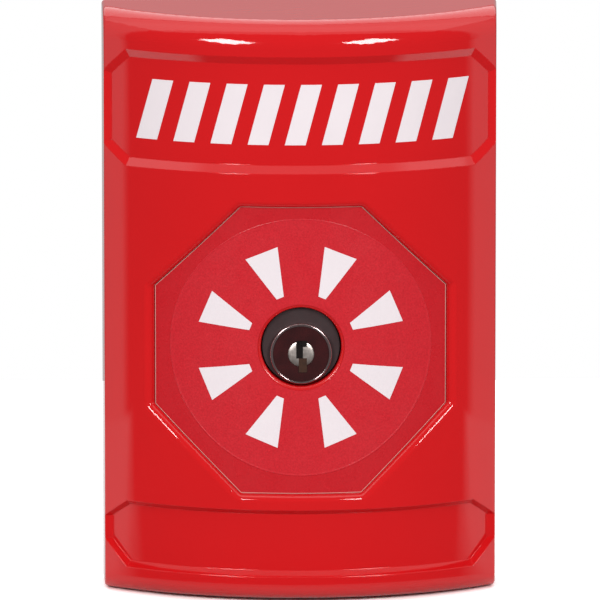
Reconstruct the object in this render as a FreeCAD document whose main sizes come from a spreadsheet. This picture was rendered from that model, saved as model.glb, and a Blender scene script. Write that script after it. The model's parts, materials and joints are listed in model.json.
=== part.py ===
import FreeCAD, Part
import math
import os
import re

import Sketcher
from FreeCAD import Placement, Rotation, Vector

# Wall station with a latching push plate and a key reset.
# X runs to the right, Y into the wall and Z up. The origin is on the wall, behind the middle of the cover.
# A depth is a distance in front of the wall, so the point at depth d lies at Y = -d.

SIZES = (
    # Cover shell
    ("cover_width", 83.0, "width of the cover at the wall"),
    ("cover_height", 124.0, "height of the cover at the wall"),
    ("cover_depth", 28.4, "depth of the bowed front at its middle"),
    ("front_radius", 63.6, "radius of the bowed front about its upright axis"),
    ("cover_draft", 1.7, "draft of the four outer walls, in degrees"),
    ("cover_wall", 3.0, "wall thickness of the cover"),
    ("cover_top_round", 5.5, "rounding of the front's top edge"),
    ("cover_foot_round", 3.5, "rounding of the front's bottom edge"),
    ("cover_side_round", 0.8, "rounding of the front's side edges"),
    ("cover_corner_round", 0.8, "rounding of the four corners seen from the front"),
    # Label band near the top
    ("label_low", 29.5, "lower edge of the label band"),
    ("label_high", 54.2, "upper edge of the label band"),
    ("label_end_low", 33.8, "foot of the upright end of the label band"),
    ("label_end_high", 49.2, "head of the upright end of the label band"),
    ("label_corner", 36.5, "distance of the band's corners from the middle"),
    ("label_recess", 1.2, "depth of the label band"),
    ("label_bevel", 1.7, "width of the bevel round the label band"),
    # Plain band near the bottom
    ("foot_low", -56.2, "lower edge of the foot band"),
    ("foot_high", -41.9, "upper edge of the foot band"),
    ("foot_end_low", -50.5, "foot of the upright end of the foot band"),
    ("foot_end_high", -45.8, "head of the upright end of the foot band"),
    ("foot_corner", 36.4, "distance of the foot band's corners from the middle"),
    ("foot_recess", 1.7, "depth of the foot band"),
    ("foot_bevel", 1.1, "width of the bevel round the foot band"),
    ("band_end", 41.2, "distance of the bands' upright ends from the middle"),
    ("band_end_bevel", 1.8, "width of the bevel at the bands' ends"),
    # Octagonal well
    ("panel_height", -8.15, "height of the octagon's middle"),
    ("panel_across", 60.5, "octagonal push plate across its flats"),
    ("panel_gap", 0.25, "running gap between push plate and well"),
    ("panel_corner_round", 1.2, "rounding of the octagon's corners"),
    ("well_round", 1.5, "rounding of the rim of the well"),
    ("well_wall", 2.0, "wall of the collar round the well"),
    ("well_back", 12.0, "depth at which the collar of the well ends"),
    # Push plate and its film
    ("film_recess", 1.7, "film below the bowed front"),
    ("film_thick", 0.25, "thickness of the film"),
    ("film_inset", 0.15, "film edge inside the plate's edge"),
    ("film_hole", 9.1, "radius of the hole in the film"),
    ("plate_thick", 2.2, "thickness of the bowed push plate"),
    ("skirt_wall", 1.8, "wall of the push plate's skirt"),
    ("skirt_back", 13.8, "depth at which the skirt ends"),
    ("press_travel", 4.0, "travel of the push plate"),
    ("hole_height", -7.5, "height of the middle of the lock hole"),
    ("hole_radius", 8.4, "radius of the lock hole in the plate"),
    ("hole_round", 0.7, "rounded lip of the lock hole"),
    ("hole_wall", 1.4, "wall of the tube behind the lock hole"),
    ("hole_back", 18.0, "depth at which that tube ends"),
    # Guides between push plate and chassis
    ("guide_x", 13.5, "guide posts to the side of the middle"),
    ("guide_z", 20.0, "guide posts above and below the middle"),
    ("guide_radius", 2.2, "radius of a guide post"),
    ("guide_gap", 0.08, "running clearance on a guide post"),
    ("guide_front", 16.3, "depth at which a guide post ends"),
    ("sleeve_wall", 1.2, "wall of a guide sleeve"),
    ("sleeve_back", 14.0, "depth at which a guide sleeve ends"),
    # Clips that keep the push plate in the chassis
    ("clip_height", 24.8, "outer face of the clips above and below the panel's middle"),
    ("clip_width", 8.0, "width of a clip"),
    ("clip_wall", 1.6, "thickness of a clip"),
    ("clip_reach", 0.9, "reach of a clip's nose"),
    ("clip_back", 6.0, "depth at which a clip ends"),
    ("clip_play", 0.2, "play of a clip in its window"),
    ("clip_rest", 0.1, "gap between a clip's nose and the chassis at rest"),
    # Return springs
    ("spring_x", 21.5, "return springs to the side of the middle"),
    ("spring_z", 11.0, "return springs above and below the middle"),
    ("spring_radius", 3.6, "mean radius of a return spring"),
    ("spring_wire", 0.35, "wire radius of a return spring"),
    ("spring_turns", 5.0, "turns of a return spring"),
    ("seat_depth", 17.9, "depth of the springs' front seats"),
    ("seat_nub", 1.2, "height of the nubs that centre the springs"),
    ("seat_play", 0.3, "play of a spring on its nub"),
    # Mounting plate
    ("base_gap", 3.5, "mounting plate inside the cover's outline"),
    ("base_thick", 1.5, "thickness of the mounting plate"),
    ("base_corner_round", 4.0, "corner radius of the mounting plate"),
    ("box_opening_width", 52.0, "width of the opening to the wall box"),
    ("box_opening_height", 42.0, "height of the opening to the wall box"),
    ("box_hole_spacing", 83.3, "distance between the two wall box holes"),
    ("box_hole_radius", 2.1, "radius of the wall box holes"),
    ("tab_x", 25.0, "folded tabs to the side of the middle"),
    ("tab_width", 10.0, "width of a folded tab"),
    ("tab_depth", 13.0, "depth to which the folded tabs reach"),
    ("tab_edge", 0.4, "folded tabs inside the plate's edge"),
    ("tab_slot_width", 6.0, "width of the slot in a hanging tab"),
    ("tab_slot_depth", 3.4, "height of the slot in a hanging tab"),
    ("hook_depth", 9.0, "depth of the middle of the cover's hooks"),
    ("hook_play", 0.3, "play of a hook in its slot"),
    ("cover_screw_depth", 8.0, "depth of the cover screws' axes"),
    ("cover_screw_radius", 1.4, "shank radius of a cover screw"),
    ("cover_screw_head", 2.6, "head radius of a cover screw"),
    ("cover_screw_thick", 1.4, "head thickness of a cover screw"),
    ("cover_screw_sunk", 0.6, "cover screw's head above the foot of the cover"),
    ("cover_screw_length", 7.0, "length of a cover screw"),
    ("cover_screw_play", 0.2, "play round a cover screw's head"),
    ("screw_gap", 0.05, "clearance of a screw in its hole"),
    # Chassis
    ("chassis_width", 62.0, "width of the chassis"),
    ("chassis_height", 57.0, "height of the chassis"),
    ("chassis_middle", -8.0, "height of the chassis's middle"),
    ("chassis_front", 9.5, "depth of the chassis's front face"),
    ("chassis_wall", 2.0, "wall thickness of the chassis"),
    ("chassis_screw_inset", 3.5, "chassis screws inside the chassis's edges"),
    ("chassis_screw_radius", 1.4, "shank radius of a chassis screw"),
    ("chassis_screw_head", 2.7, "head radius of a chassis screw"),
    ("chassis_screw_length", 7.0, "length of a chassis screw"),
    ("chassis_post", 3.0, "radius of the posts that take the chassis screws"),
    # Lock
    ("lock_height", -9.05, "height of the lock's axis"),
    ("lock_rim_depth", 25.7, "depth of the lock's front rim"),
    ("lock_head_radius", 6.45, "radius of the lock's head"),
    ("lock_head_thick", 1.3, "thickness of the lock's head"),
    ("lock_rim", 0.55, "width of the bright rim"),
    ("lock_cup", 1.0, "depth of the cup inside the rim"),
    ("lock_rim_round", 0.25, "rounding of the rim"),
    ("barrel_radius", 5.5, "radius of the lock's barrel"),
    ("barrel_gap", 0.1, "clearance of the barrel in its bore"),
    ("barrel_back", 4.9, "depth at which the barrel ends"),
    ("boss_radius", 8.1, "radius of the boss that carries the lock"),
    ("face_ring_thick", 0.7, "thickness of the dark ring in the cup"),
    ("core_radius", 2.7, "radius of the turning core"),
    ("core_gap", 0.05, "running clearance of the core"),
    ("core_depth", 25.3, "depth of the core's face"),
    ("keyway_deep", 9.0, "depth of the keyway"),
    ("tail_side", 4.0, "side of the core's square tail"),
    ("tail_back", 3.3, "depth at which the tail ends"),
    ("cam_thick", 1.5, "thickness of the release cam"),
    ("cam_hub", 4.2, "hub radius of the release cam"),
    ("cam_reach", 12.5, "reach of the release cam's lobe"),
    ("cam_lobe", 2.5, "half width of the release cam's lobe"),
    ("cam_turn", 90.0, "turn of the key, in degrees"),
    ("cam_screw_radius", 1.2, "shank radius of the cam screw"),
    ("cam_screw_head", 2.6, "head radius of the cam screw"),
    ("cam_screw_thick", 1.3, "head thickness of the cam screw"),
    ("cam_screw_length", 6.0, "length of the cam screw"),
    ("washer_radius", 7.6, "outer radius of the lock washer"),
    ("washer_thick", 0.6, "thickness of the lock washer"),
    ("nut_across", 14.0, "lock nut across its flats"),
    ("nut_thick", 1.8, "thickness of the lock nut"),
    # Latch bar and catch springs
    ("bar_thick", 1.2, "thickness of the latch bar"),
    ("bar_lift", 0.2, "latch bar above the chassis's front"),
    ("bar_travel", 1.6, "travel of the latch bar"),
    ("bar_left", 12.4, "left edge of the latch bar"),
    ("bar_right", 13.6, "right edge of the latch bar"),
    ("bar_half_height", 11.0, "half height of the bar's broad middle"),
    ("bar_rail", 3.6, "width of the bar's two rails"),
    ("bar_end", 21.4, "distance of the bar's ends from the panel's middle"),
    ("bar_arm", 6.0, "half width of the bar's arms"),
    ("bar_tab_height", 8.0, "height of the bar's folded tab"),
    ("bar_slot_play", 0.35, "play between bar and lock boss"),
    ("cam_play", 0.3, "play between lobe and tab at full turn"),
    ("catch_height", 17.0, "catch springs above and below the panel's middle"),
    ("catch_width", 4.0, "width of a catch spring"),
    ("catch_thick", 0.5, "sheet thickness of a catch spring"),
    ("catch_barb", 1.4, "reach of the barb of a catch spring"),
    ("catch_length", 1.6, "length of the barb along the travel"),
    ("catch_lift", 0.3, "barb in front of the latch bar at rest"),
    ("catch_play", 0.35, "play between catch spring and window"),
    ("catch_foot", 4.6, "length of a catch spring's foot"),
    ("catch_screw_radius", 0.9, "shank radius of a catch screw"),
    ("catch_screw_head", 1.6, "head radius of a catch screw"),
    ("catch_screw_thick", 0.9, "head thickness of a catch screw"),
    ("catch_screw_length", 2.6, "length of a catch screw"),
    ("catch_seat", 18.6, "depth of the pad that a catch spring is screwed to"),
    ("keeper_height", 7.0, "keepers above and below the panel's middle"),
    ("keeper_width", 4.0, "width of a keeper"),
    ("keeper_wall", 1.2, "wall of a keeper"),
    ("keeper_lip", 1.5, "reach of a keeper over the bar"),
    ("keeper_play", 0.3, "play between bar and keeper"),
    ("leaf_thick", 0.4, "thickness of the latch spring"),
    ("leaf_width", 1.6, "width of the latch spring"),
    ("leaf_foot", 25.0, "foot of the latch spring below the panel's middle"),
    ("leaf_length", 12.0, "length of the latch spring"),
    ("leaf_bow", 2.2, "bow of the latch spring"),
    # Contact blocks
    ("block_inset", 11.6, "middle of a contact block inside the chassis's side"),
    ("block_width", 10.0, "width of a contact block"),
    ("block_height", 30.0, "height of a contact block"),
    ("block_depth", 21.5, "length of a contact block, from the chassis into the wall box"),
    ("plunger_radius", 2.0, "radius of a contact plunger"),
    ("plunger_gap", 0.08, "running clearance of a plunger"),
    ("plunger_front", 11.6, "depth of a plunger's tip"),
    ("plunger_back", -0.4, "depth at which a plunger ends"),
    ("leg_radius", 2.5, "radius of the push plate's legs"),
    ("leg_play", 0.1, "play between leg and plunger"),
    ("leg_gap", 0.4, "clearance of a leg in the chassis"),
    ("chamber_front", 3.6, "depth of the front of the contact chamber"),
    ("chamber_back", -9.0, "depth of the back of the contact chamber"),
    ("chamber_width", 5.4, "width of the contact chamber"),
    ("chamber_height", 19.0, "height of the contact chamber"),
    ("plunger_stem", 1.0, "radius of a plunger's stem"),
    ("bridge_depth", 2.0, "depth of a contact bridge's front"),
    ("bridge_height", 15.0, "length of a contact bridge"),
    ("bridge_width", 3.6, "width of a contact bridge"),
    ("bridge_thick", 0.8, "thickness of a contact bridge"),
    ("strip_play", 0.1, "play between bridge and fixed contacts when pressed"),
    ("strip_thick", 0.8, "thickness of the fixed contact strips"),
    ("strip_width", 3.4, "width of the fixed contact strips"),
    ("strip_reach", 4.5, "inner end of the fixed contact strips"),
    ("strip_beyond", 2.0, "end of a contact strip beyond its screw"),
    ("contact_spring_radius", 1.5, "mean radius of a contact spring"),
    ("contact_spring_wire", 0.2, "wire radius of a contact spring"),
    ("contact_spring_turns", 6.0, "turns of a contact spring"),
    ("terminal_z", 10.6, "terminal screws above and below the block's middle"),
    ("terminal_radius", 1.5, "shank radius of a terminal screw"),
    ("terminal_head", 2.4, "head radius of a terminal screw"),
    ("terminal_thick", 1.6, "head thickness of a terminal screw"),
    ("terminal_well", 2.9, "radius of the wells round the terminal screws"),
    ("terminal_deep", 4.0, "depth of the wells round the terminal screws"),
    ("clamp_side", 4.0, "side of a terminal clamp plate"),
    ("clamp_thick", 0.8, "thickness of a terminal clamp plate"),
    ("wire_slot", 3.6, "side of the wire entries"),
    ("hook_reach", 0.8, "reach of the chassis's hooks into a contact block"),
    ("hook_wall", 1.6, "thickness of those hooks"),
    ("hook_width", 6.0, "width of those hooks"),
    ("hook_back", 1.0, "depth at which those hooks catch"),
    ("hook_nose", 2.4, "length of their noses"),
    ("hook_gap", 0.2, "gap between hook and contact block"),
)
SIZE = {name: value for name, value, meaning in SIZES}

doc = FreeCAD.newDocument("emergency_push_station")
sheet = doc.addObject("Spreadsheet::Sheet", "dims")
for row, (name, value, meaning) in enumerate(SIZES, start=1):
    sheet.set(f"A{row}", meaning)
    sheet.set(f"B{row}", str(value))
    sheet.setAlias(f"B{row}", name)
doc.recompute()


# Helpers


def formula(text):
    """Turns a formula in plain size names into one that reads the sheet."""
    return re.sub(r"[a-z][a-z_]*[a-z]", lambda m: "dims." + m[0] if m[0] in SIZE else m[0], text)


def bind(thing, **formulas):
    """Binds properties of an object; two underscores in a key stand for a dot."""
    for key, text in formulas.items():
        thing.setExpression(key.replace("__", "."), formula(text))


def new_body(name):
    body = doc.addObject("PartDesign::Body", name)
    body.Label = name
    body.AllowCompound = True
    return body


def sketch_on(body, role, offset="0"):
    """A sketch on one of the body's own planes; on XZ the offset is a depth."""
    sketch = body.newObject("Sketcher::SketchObject", body.Name + "_sketch")
    plane = next(item for item in body.Origin.OriginFeatures if item.Role == role)
    sketch.AttachmentSupport = [(plane, "")]
    sketch.MapMode = "FlatFace"
    sketch.setExpression("AttachmentOffset.Base.z", formula(offset))
    return sketch


def constrain(sketch, text, *definition):
    number = sketch.addConstraint(Sketcher.Constraint(*definition, 1.0))
    sketch.renameConstraint(number, f"size{number}")
    sketch.setExpression(f"Constraints.size{number}", formula(text))


def place_point(sketch, index, point, across, up):
    constrain(sketch, across, "DistanceX", -1, 1, index, point)
    constrain(sketch, up, "DistanceY", -1, 1, index, point)


def add_outline(sketch, corners):
    """Closes straight lines through corners that are pairs of formulas."""
    count = len(corners)
    first = sketch.GeometryCount
    turn = 2 * math.pi / count
    ring = [Vector(math.cos(turn * step), math.sin(turn * step), 0) for step in range(count)]
    for step in range(count):
        sketch.addGeometry(Part.LineSegment(ring[step], ring[(step + 1) % count]))
    for step in range(count):
        following = first + (step + 1) % count
        sketch.addConstraint(Sketcher.Constraint("Coincident", first + step, 2, following, 1))
    for step, (across, up) in enumerate(corners):
        place_point(sketch, first + step, 1, across, up)


def add_circle(sketch, radius, across="0", up="0"):
    index = sketch.addGeometry(Part.Circle(Vector(0, 0, 0), Vector(0, 0, 1), 1.0))
    place_point(sketch, index, 3, across, up)
    constrain(sketch, radius, "Radius", index)


def add_box(sketch, left, right, low, high):
    add_outline(sketch, [(left, low), (right, low), (right, high), (left, high)])


def octagon(across, middle):
    """Corners of a regular octagon, given across its flats, as pairs of formulas."""
    flat = f"({across}) / 2"
    corner = f"({across}) / 2 * tan(22.5)"
    ring = []
    for side, high in ((1, 1), (-1, 1), (-1, -1), (1, -1)):
        near = (f"{side} * {flat}", f"{middle} + {high} * {corner}")
        far = (f"{side} * {corner}", f"{middle} + {high} * {flat}")
        ring += [near, far] if side * high > 0 else [far, near]
    return ring


def pad(body, sketch, length, taper=None):
    feature = body.newObject("PartDesign::Pad", body.Name + "_pad")
    feature.Profile = sketch
    bind(feature, Length=length)
    if taper:
        bind(feature, TaperAngle=taper)
    doc.recompute()
    return feature


def pocket(body, sketch, length):
    """Cuts from the sketch's plane against its normal: from a depth towards the wall on XZ."""
    before = body.Shape.Volume
    feature = body.newObject("PartDesign::Pocket", body.Name + "_pocket")
    feature.Profile = sketch
    bind(feature, Length=length)
    doc.recompute()
    if not body.Shape.Volume < before:
        raise RuntimeError(f"{feature.Name} cuts nothing")
    return feature


def revolve(body, sketch, axis="H_Axis"):
    feature = body.newObject("PartDesign::Revolution", body.Name + "_turned")
    feature.Profile = sketch
    feature.ReferenceAxis = (sketch, [axis])
    feature.Angle = 360
    doc.recompute()
    return feature


def turned(name, profile, x="0", z="0"):
    """A piece turned about an axis along Y, from corners given as (depth, radius)."""
    body = new_body(name)
    sketch = sketch_on(body, "YZ_Plane")
    add_outline(sketch, [(f"-({depth})", radius) for depth, radius in profile])
    revolve(body, sketch)
    bind(body, Placement__Base__x=x, Placement__Base__z=z)
    return body


def round_edges(body, names, radius):
    base = body.Tip
    feature = body.newObject("PartDesign::Fillet", body.Name + "_round")
    feature.Base = (base, names)
    bind(feature, Radius=radius)
    doc.recompute()
    return feature


def edges_where(shape, test):
    return [f"Edge{number}" for number, edge in enumerate(shape.Edges, start=1) if test(edge)]


def runs_along(edge, direction):
    """True for a straight edge along a direction."""
    if edge.Curve.TypeId != "Part::GeomLine":
        return False
    return abs(abs(edge.tangentAt(edge.FirstParameter).dot(direction)) - 1) < 1e-6


def combine(kind, name, base, tool):
    result = doc.addObject("Part::" + kind, name)
    result.Base = base
    result.Tool = tool
    doc.recompute()
    return result


def group(name, base, places):
    """One node of several like solids: copies of a body set at other places."""
    shapes = []
    for place in places:
        copy = base.Shape.copy()
        copy.Placement = place.multiply(copy.Placement)
        shapes.append(copy)
    result = doc.addObject("Part::Feature", name)
    result.Shape = Part.makeCompound(shapes)
    result.Placement = Placement()
    return result


def bowed_y(radius, x):
    """Y of the bowed surface of a radius about the front's axis, at x."""
    return SIZE["front_radius"] - SIZE["cover_depth"] - math.sqrt(radius**2 - x**2)


BOW_AXIS = "front_radius - cover_depth"
BASE_HALF_WIDTH = "(cover_width / 2 - base_gap)"
BASE_HALF_HEIGHT = "(cover_height / 2 - base_gap)"
BLOCK_X = "(chassis_width / 2 - block_inset)"
ALONG_Y = Vector(0, 1, 0)


def bowed_cylinder(name, radius):
    """An upright cylinder about the axis that the front is bowed round."""
    cylinder = doc.addObject("Part::Cylinder", name)
    bind(cylinder, Radius=radius, Height="cover_height + 20")
    bind(cylinder, Placement__Base__y=BOW_AXIS, Placement__Base__z="-cover_height / 2 - 10")
    return cylinder


# Front cover


def drafted_block(name, inset):
    body = new_body(name)
    sketch = sketch_on(body, "XZ_Plane")
    half_width = f"cover_width / 2 - {inset}"
    half_height = f"cover_height / 2 - {inset}"
    add_box(sketch, f"-({half_width})", half_width, f"-({half_height})", half_height)
    pad(body, sketch, "cover_depth + 2", taper="-cover_draft")
    return body


def outer_solid():
    block = drafted_block("cover_block", "0")
    bowed = combine("Common", "cover_bowed", block, bowed_cylinder("cover_bow", "front_radius"))
    rounded = doc.addObject("Part::Fillet", "cover_rounded")
    rounded.Base = bowed
    rounds = []
    for number, edge in enumerate(bowed.Shape.Edges, start=1):
        extent = edge.BoundBox
        if extent.XLength < 2 and extent.ZLength < 2:
            name = "cover_corner_round"
        elif not all(on_front(point) for point in edge.discretize(5)):
            continue
        elif extent.ZLength > extent.XLength:
            name = "cover_side_round"
        else:
            name = "cover_top_round" if extent.ZMin > 0 else "cover_foot_round"
        rounds.append((number, SIZE[name], SIZE[name]))
    rounded.Edges = rounds
    doc.recompute()
    return rounded


def on_front(point):
    """True for a point on the bowed front surface."""
    reach = math.hypot(point.x, point.y - SIZE["front_radius"] + SIZE["cover_depth"])
    return abs(reach - SIZE["front_radius"]) < 1e-4


def beyond(point, outward):
    """A large block whose one face passes through a point and which lies on the outward side."""
    side = 4 * SIZE["cover_height"]
    block = Part.makeBox(side, side, side, Vector(-side / 2, -side / 2, 0))
    block.Placement = Placement(point, Rotation(Vector(0, 0, 1), outward))
    return block


def band_tool(name, low, high, end_low, end_high, corner, recess, bevel):
    """The solid that a band removes: a bevelled ring about the bow's axis with six-sided outline."""
    radius = SIZE["front_radius"]
    floor = radius - recess
    rise = 2.0
    flare = bevel * rise / recess
    axis = Vector(0, radius - SIZE["cover_depth"], 0)
    section = Part.makePolygon(
        [
            Vector(0, axis.y - floor, low + bevel),
            Vector(0, axis.y - floor, high - bevel),
            Vector(0, axis.y - radius - rise, high + flare),
            Vector(0, axis.y - radius - rise, low - flare),
            Vector(0, axis.y - floor, low + bevel),
        ]
    )
    section.rotate(axis, Vector(0, 0, 1), -90)
    ring = Part.Face(section).revolve(axis, Vector(0, 0, 1), 180)
    end = SIZE["band_end"]
    inner = end - SIZE["band_end_bevel"]
    for side in (1, -1):
        this_half = beyond(Vector(0, 0, -SIZE["cover_height"]), Vector(side, 0, 0))
        outer_edge = Vector(side * end, bowed_y(radius, end), 0)
        inner_edge = Vector(side * inner, bowed_y(floor, inner), 0)
        slope = outer_edge - inner_edge
        end_block = beyond(outer_edge, Vector(side * abs(slope.y), side * slope.x, 0))
        ring = ring.cut(end_block.common(this_half))
        for corner_z, end_z, turn in ((high, end_high, 1), (low, end_low, -1)):
            near = Vector(side * corner, bowed_y(radius, corner), corner_z)
            far = Vector(side * end, bowed_y(radius, end), end_z)
            deep_x = corner - bevel / 2
            deep = Vector(side * deep_x, bowed_y(floor, deep_x), corner_z - turn * bevel)
            outward = (far - near).cross(deep - near)
            if outward.y < 0:
                outward = outward * -1
            ring = ring.cut(beyond(near, outward).common(this_half))
    tool = doc.addObject("Part::Feature", name)
    tool.Shape = ring
    return tool


def octagon_prism(name, across, back, length, radius):
    body = new_body(name)
    sketch = sketch_on(body, "XZ_Plane", back)
    add_outline(sketch, octagon(across, "panel_height"))
    pad(body, sketch, length)
    corners = edges_where(body.Shape, lambda edge: runs_along(edge, ALONG_Y))
    round_edges(body, corners, radius)
    return body


def make_front_cover():
    outer = outer_solid()
    inside = combine(
        "Common",
        "cover_inside",
        drafted_block("cover_cavity", "cover_wall"),
        bowed_cylinder("cover_inner_bow", "front_radius - cover_wall"),
    )
    shell = combine("Cut", "cover_shell", outer, inside)
    collar_across = "panel_across + 2 * panel_gap + 2 * well_wall"
    collar_round = "panel_corner_round + well_wall"
    collar = octagon_prism("well_collar", collar_across, "well_back", "cover_depth", collar_round)
    trimmed = combine("Common", "well_collar_trimmed", collar, outer)
    pads = combine("Common", "cover_pads_trimmed", make_cover_pads(), outer)
    joined = combine("Fuse", "cover_joined", combine("Fuse", "cover_collared", shell, trimmed), pads)
    well_across = "panel_across + 2 * panel_gap"
    well = octagon_prism("well", well_across, "0", "2 * cover_depth", "panel_corner_round")
    opened = combine("Cut", "cover_opened", joined, well)
    rim = doc.addObject("Part::Fillet", "cover_rim")
    rim.Base = opened
    radius = SIZE["well_round"]
    reach = SIZE["panel_across"] / 2 + 1
    middle = SIZE["panel_height"]
    rim.Edges = [
        (number, radius, radius)
        for number, edge in enumerate(opened.Shape.Edges, start=1)
        if all(
            on_front(point) and abs(point.x) < reach and abs(point.z - middle) < reach
            for point in edge.discretize(5)
        )
    ]
    doc.recompute()
    label = band_tool("label_tool", *(SIZE[key] for key in (
        "label_low", "label_high", "label_end_low", "label_end_high",
        "label_corner", "label_recess", "label_bevel")))
    foot = band_tool("foot_tool", *(SIZE[key] for key in (
        "foot_low", "foot_high", "foot_end_low", "foot_end_high",
        "foot_corner", "foot_recess", "foot_bevel")))
    labelled = combine("Cut", "cover_labelled", rim, label)
    banded = combine("Cut", "cover_banded", labelled, foot)
    cover = combine("Cut", "front_cover", banded, make_cover_holes())
    cover.Label = "front_cover"
    return cover


def make_cover_pads():
    """Hooks inside the top wall and thick pads round the screw holes in the bottom wall."""
    body = new_body("cover_pads")
    sketch = sketch_on(body, "XZ_Plane", "hook_depth - tab_slot_depth / 2 + hook_play")
    tab_face = f"{BASE_HALF_HEIGHT} - tab_edge"
    for side in (1, -1):
        middle = f"{side} * tab_x"
        half = "(tab_slot_width / 2 - hook_play)"
        low = f"{tab_face} - 2 * base_thick"
        add_box(sketch, f"{middle} - {half}", f"{middle} + {half}", low, "cover_height / 2 - 1")
    pad(body, sketch, "tab_slot_depth - 2 * hook_play")
    return body


def make_cover_holes():
    """Counterbored holes for the two cover screws, bored upwards through the bottom wall."""
    seat = "cover_screw_sunk + cover_screw_thick"
    pattern = turned(
        "cover_hole_pattern",
        [
            ("-1", "0"),
            ("-1", "cover_screw_head + cover_screw_play"),
            (seat, "cover_screw_head + cover_screw_play"),
            (seat, "cover_screw_radius + screw_gap"),
            ("cover_wall + 1", "cover_screw_radius + screw_gap"),
            ("cover_wall + 1", "0"),
        ],
    )
    return group("cover_holes", pattern, cover_screw_places())


# Mounting plate


def make_mounting_plate():
    body = new_body("plate_blank")
    sketch = sketch_on(body, "XZ_Plane")
    add_box(sketch, f"-{BASE_HALF_WIDTH}", BASE_HALF_WIDTH, f"-{BASE_HALF_HEIGHT}", BASE_HALF_HEIGHT)
    opening = ("box_opening_width / 2", "box_opening_height / 2")
    add_box(
        sketch,
        f"-{opening[0]}",
        opening[0],
        f"chassis_middle - {opening[1]}",
        f"chassis_middle + {opening[1]}",
    )
    for side in (1, -1):
        add_circle(sketch, "box_hole_radius", "0", f"{side} * box_hole_spacing / 2")
    pad(body, sketch, "base_thick")
    corner = SIZE["cover_width"] / 2 - SIZE["base_gap"]
    outer = edges_where(
        body.Shape,
        lambda edge: runs_along(edge, ALONG_Y) and abs(abs(edge.CenterOfMass.x) - corner) < 1e-6,
    )
    round_edges(body, outer, "base_corner_round")
    tabs = sketch_on(body, "XZ_Plane")
    edge = f"{BASE_HALF_HEIGHT} - tab_edge"
    for side in (1, -1):
        left = f"{side} * tab_x - tab_width / 2"
        right = f"{side} * tab_x + tab_width / 2"
        add_box(tabs, left, right, f"{edge} - base_thick", edge)
        add_box(tabs, left, right, f"-({edge})", f"-({edge}) + base_thick")
    pad(body, tabs, "tab_depth")
    slots = sketch_on(body, "XY_Plane", "cover_height / 2")
    for side in (1, -1):
        middle = f"{side} * tab_x"
        near = "-(hook_depth - tab_slot_depth / 2)"
        far = "-(hook_depth + tab_slot_depth / 2)"
        add_box(slots, f"{middle} - tab_slot_width / 2", f"{middle} + tab_slot_width / 2", far, near)
    pocket(body, slots, "cover_height / 2")
    holes = sketch_on(body, "XY_Plane")
    for side in (1, -1):
        add_circle(holes, "cover_screw_radius + screw_gap", f"{side} * tab_x", "-cover_screw_depth")
    pocket(body, holes, "cover_height / 2")
    plate = combine("Cut", "mounting_plate", body, make_countersinks())
    plate.Label = "mounting_plate"
    return plate


def make_countersinks():
    cone = "chassis_screw_head - chassis_screw_radius - screw_gap"
    pattern = turned(
        "countersink_pattern",
        [
            ("-1", "0"),
            ("-1", "chassis_screw_head + screw_gap + 1"),
            (cone, "chassis_screw_radius + 2 * screw_gap"),
            ("base_thick + 1", "chassis_screw_radius + 2 * screw_gap"),
            ("base_thick + 1", "0"),
        ],
    )
    return group("countersinks", pattern, chassis_screw_places())


# Chassis


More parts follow.
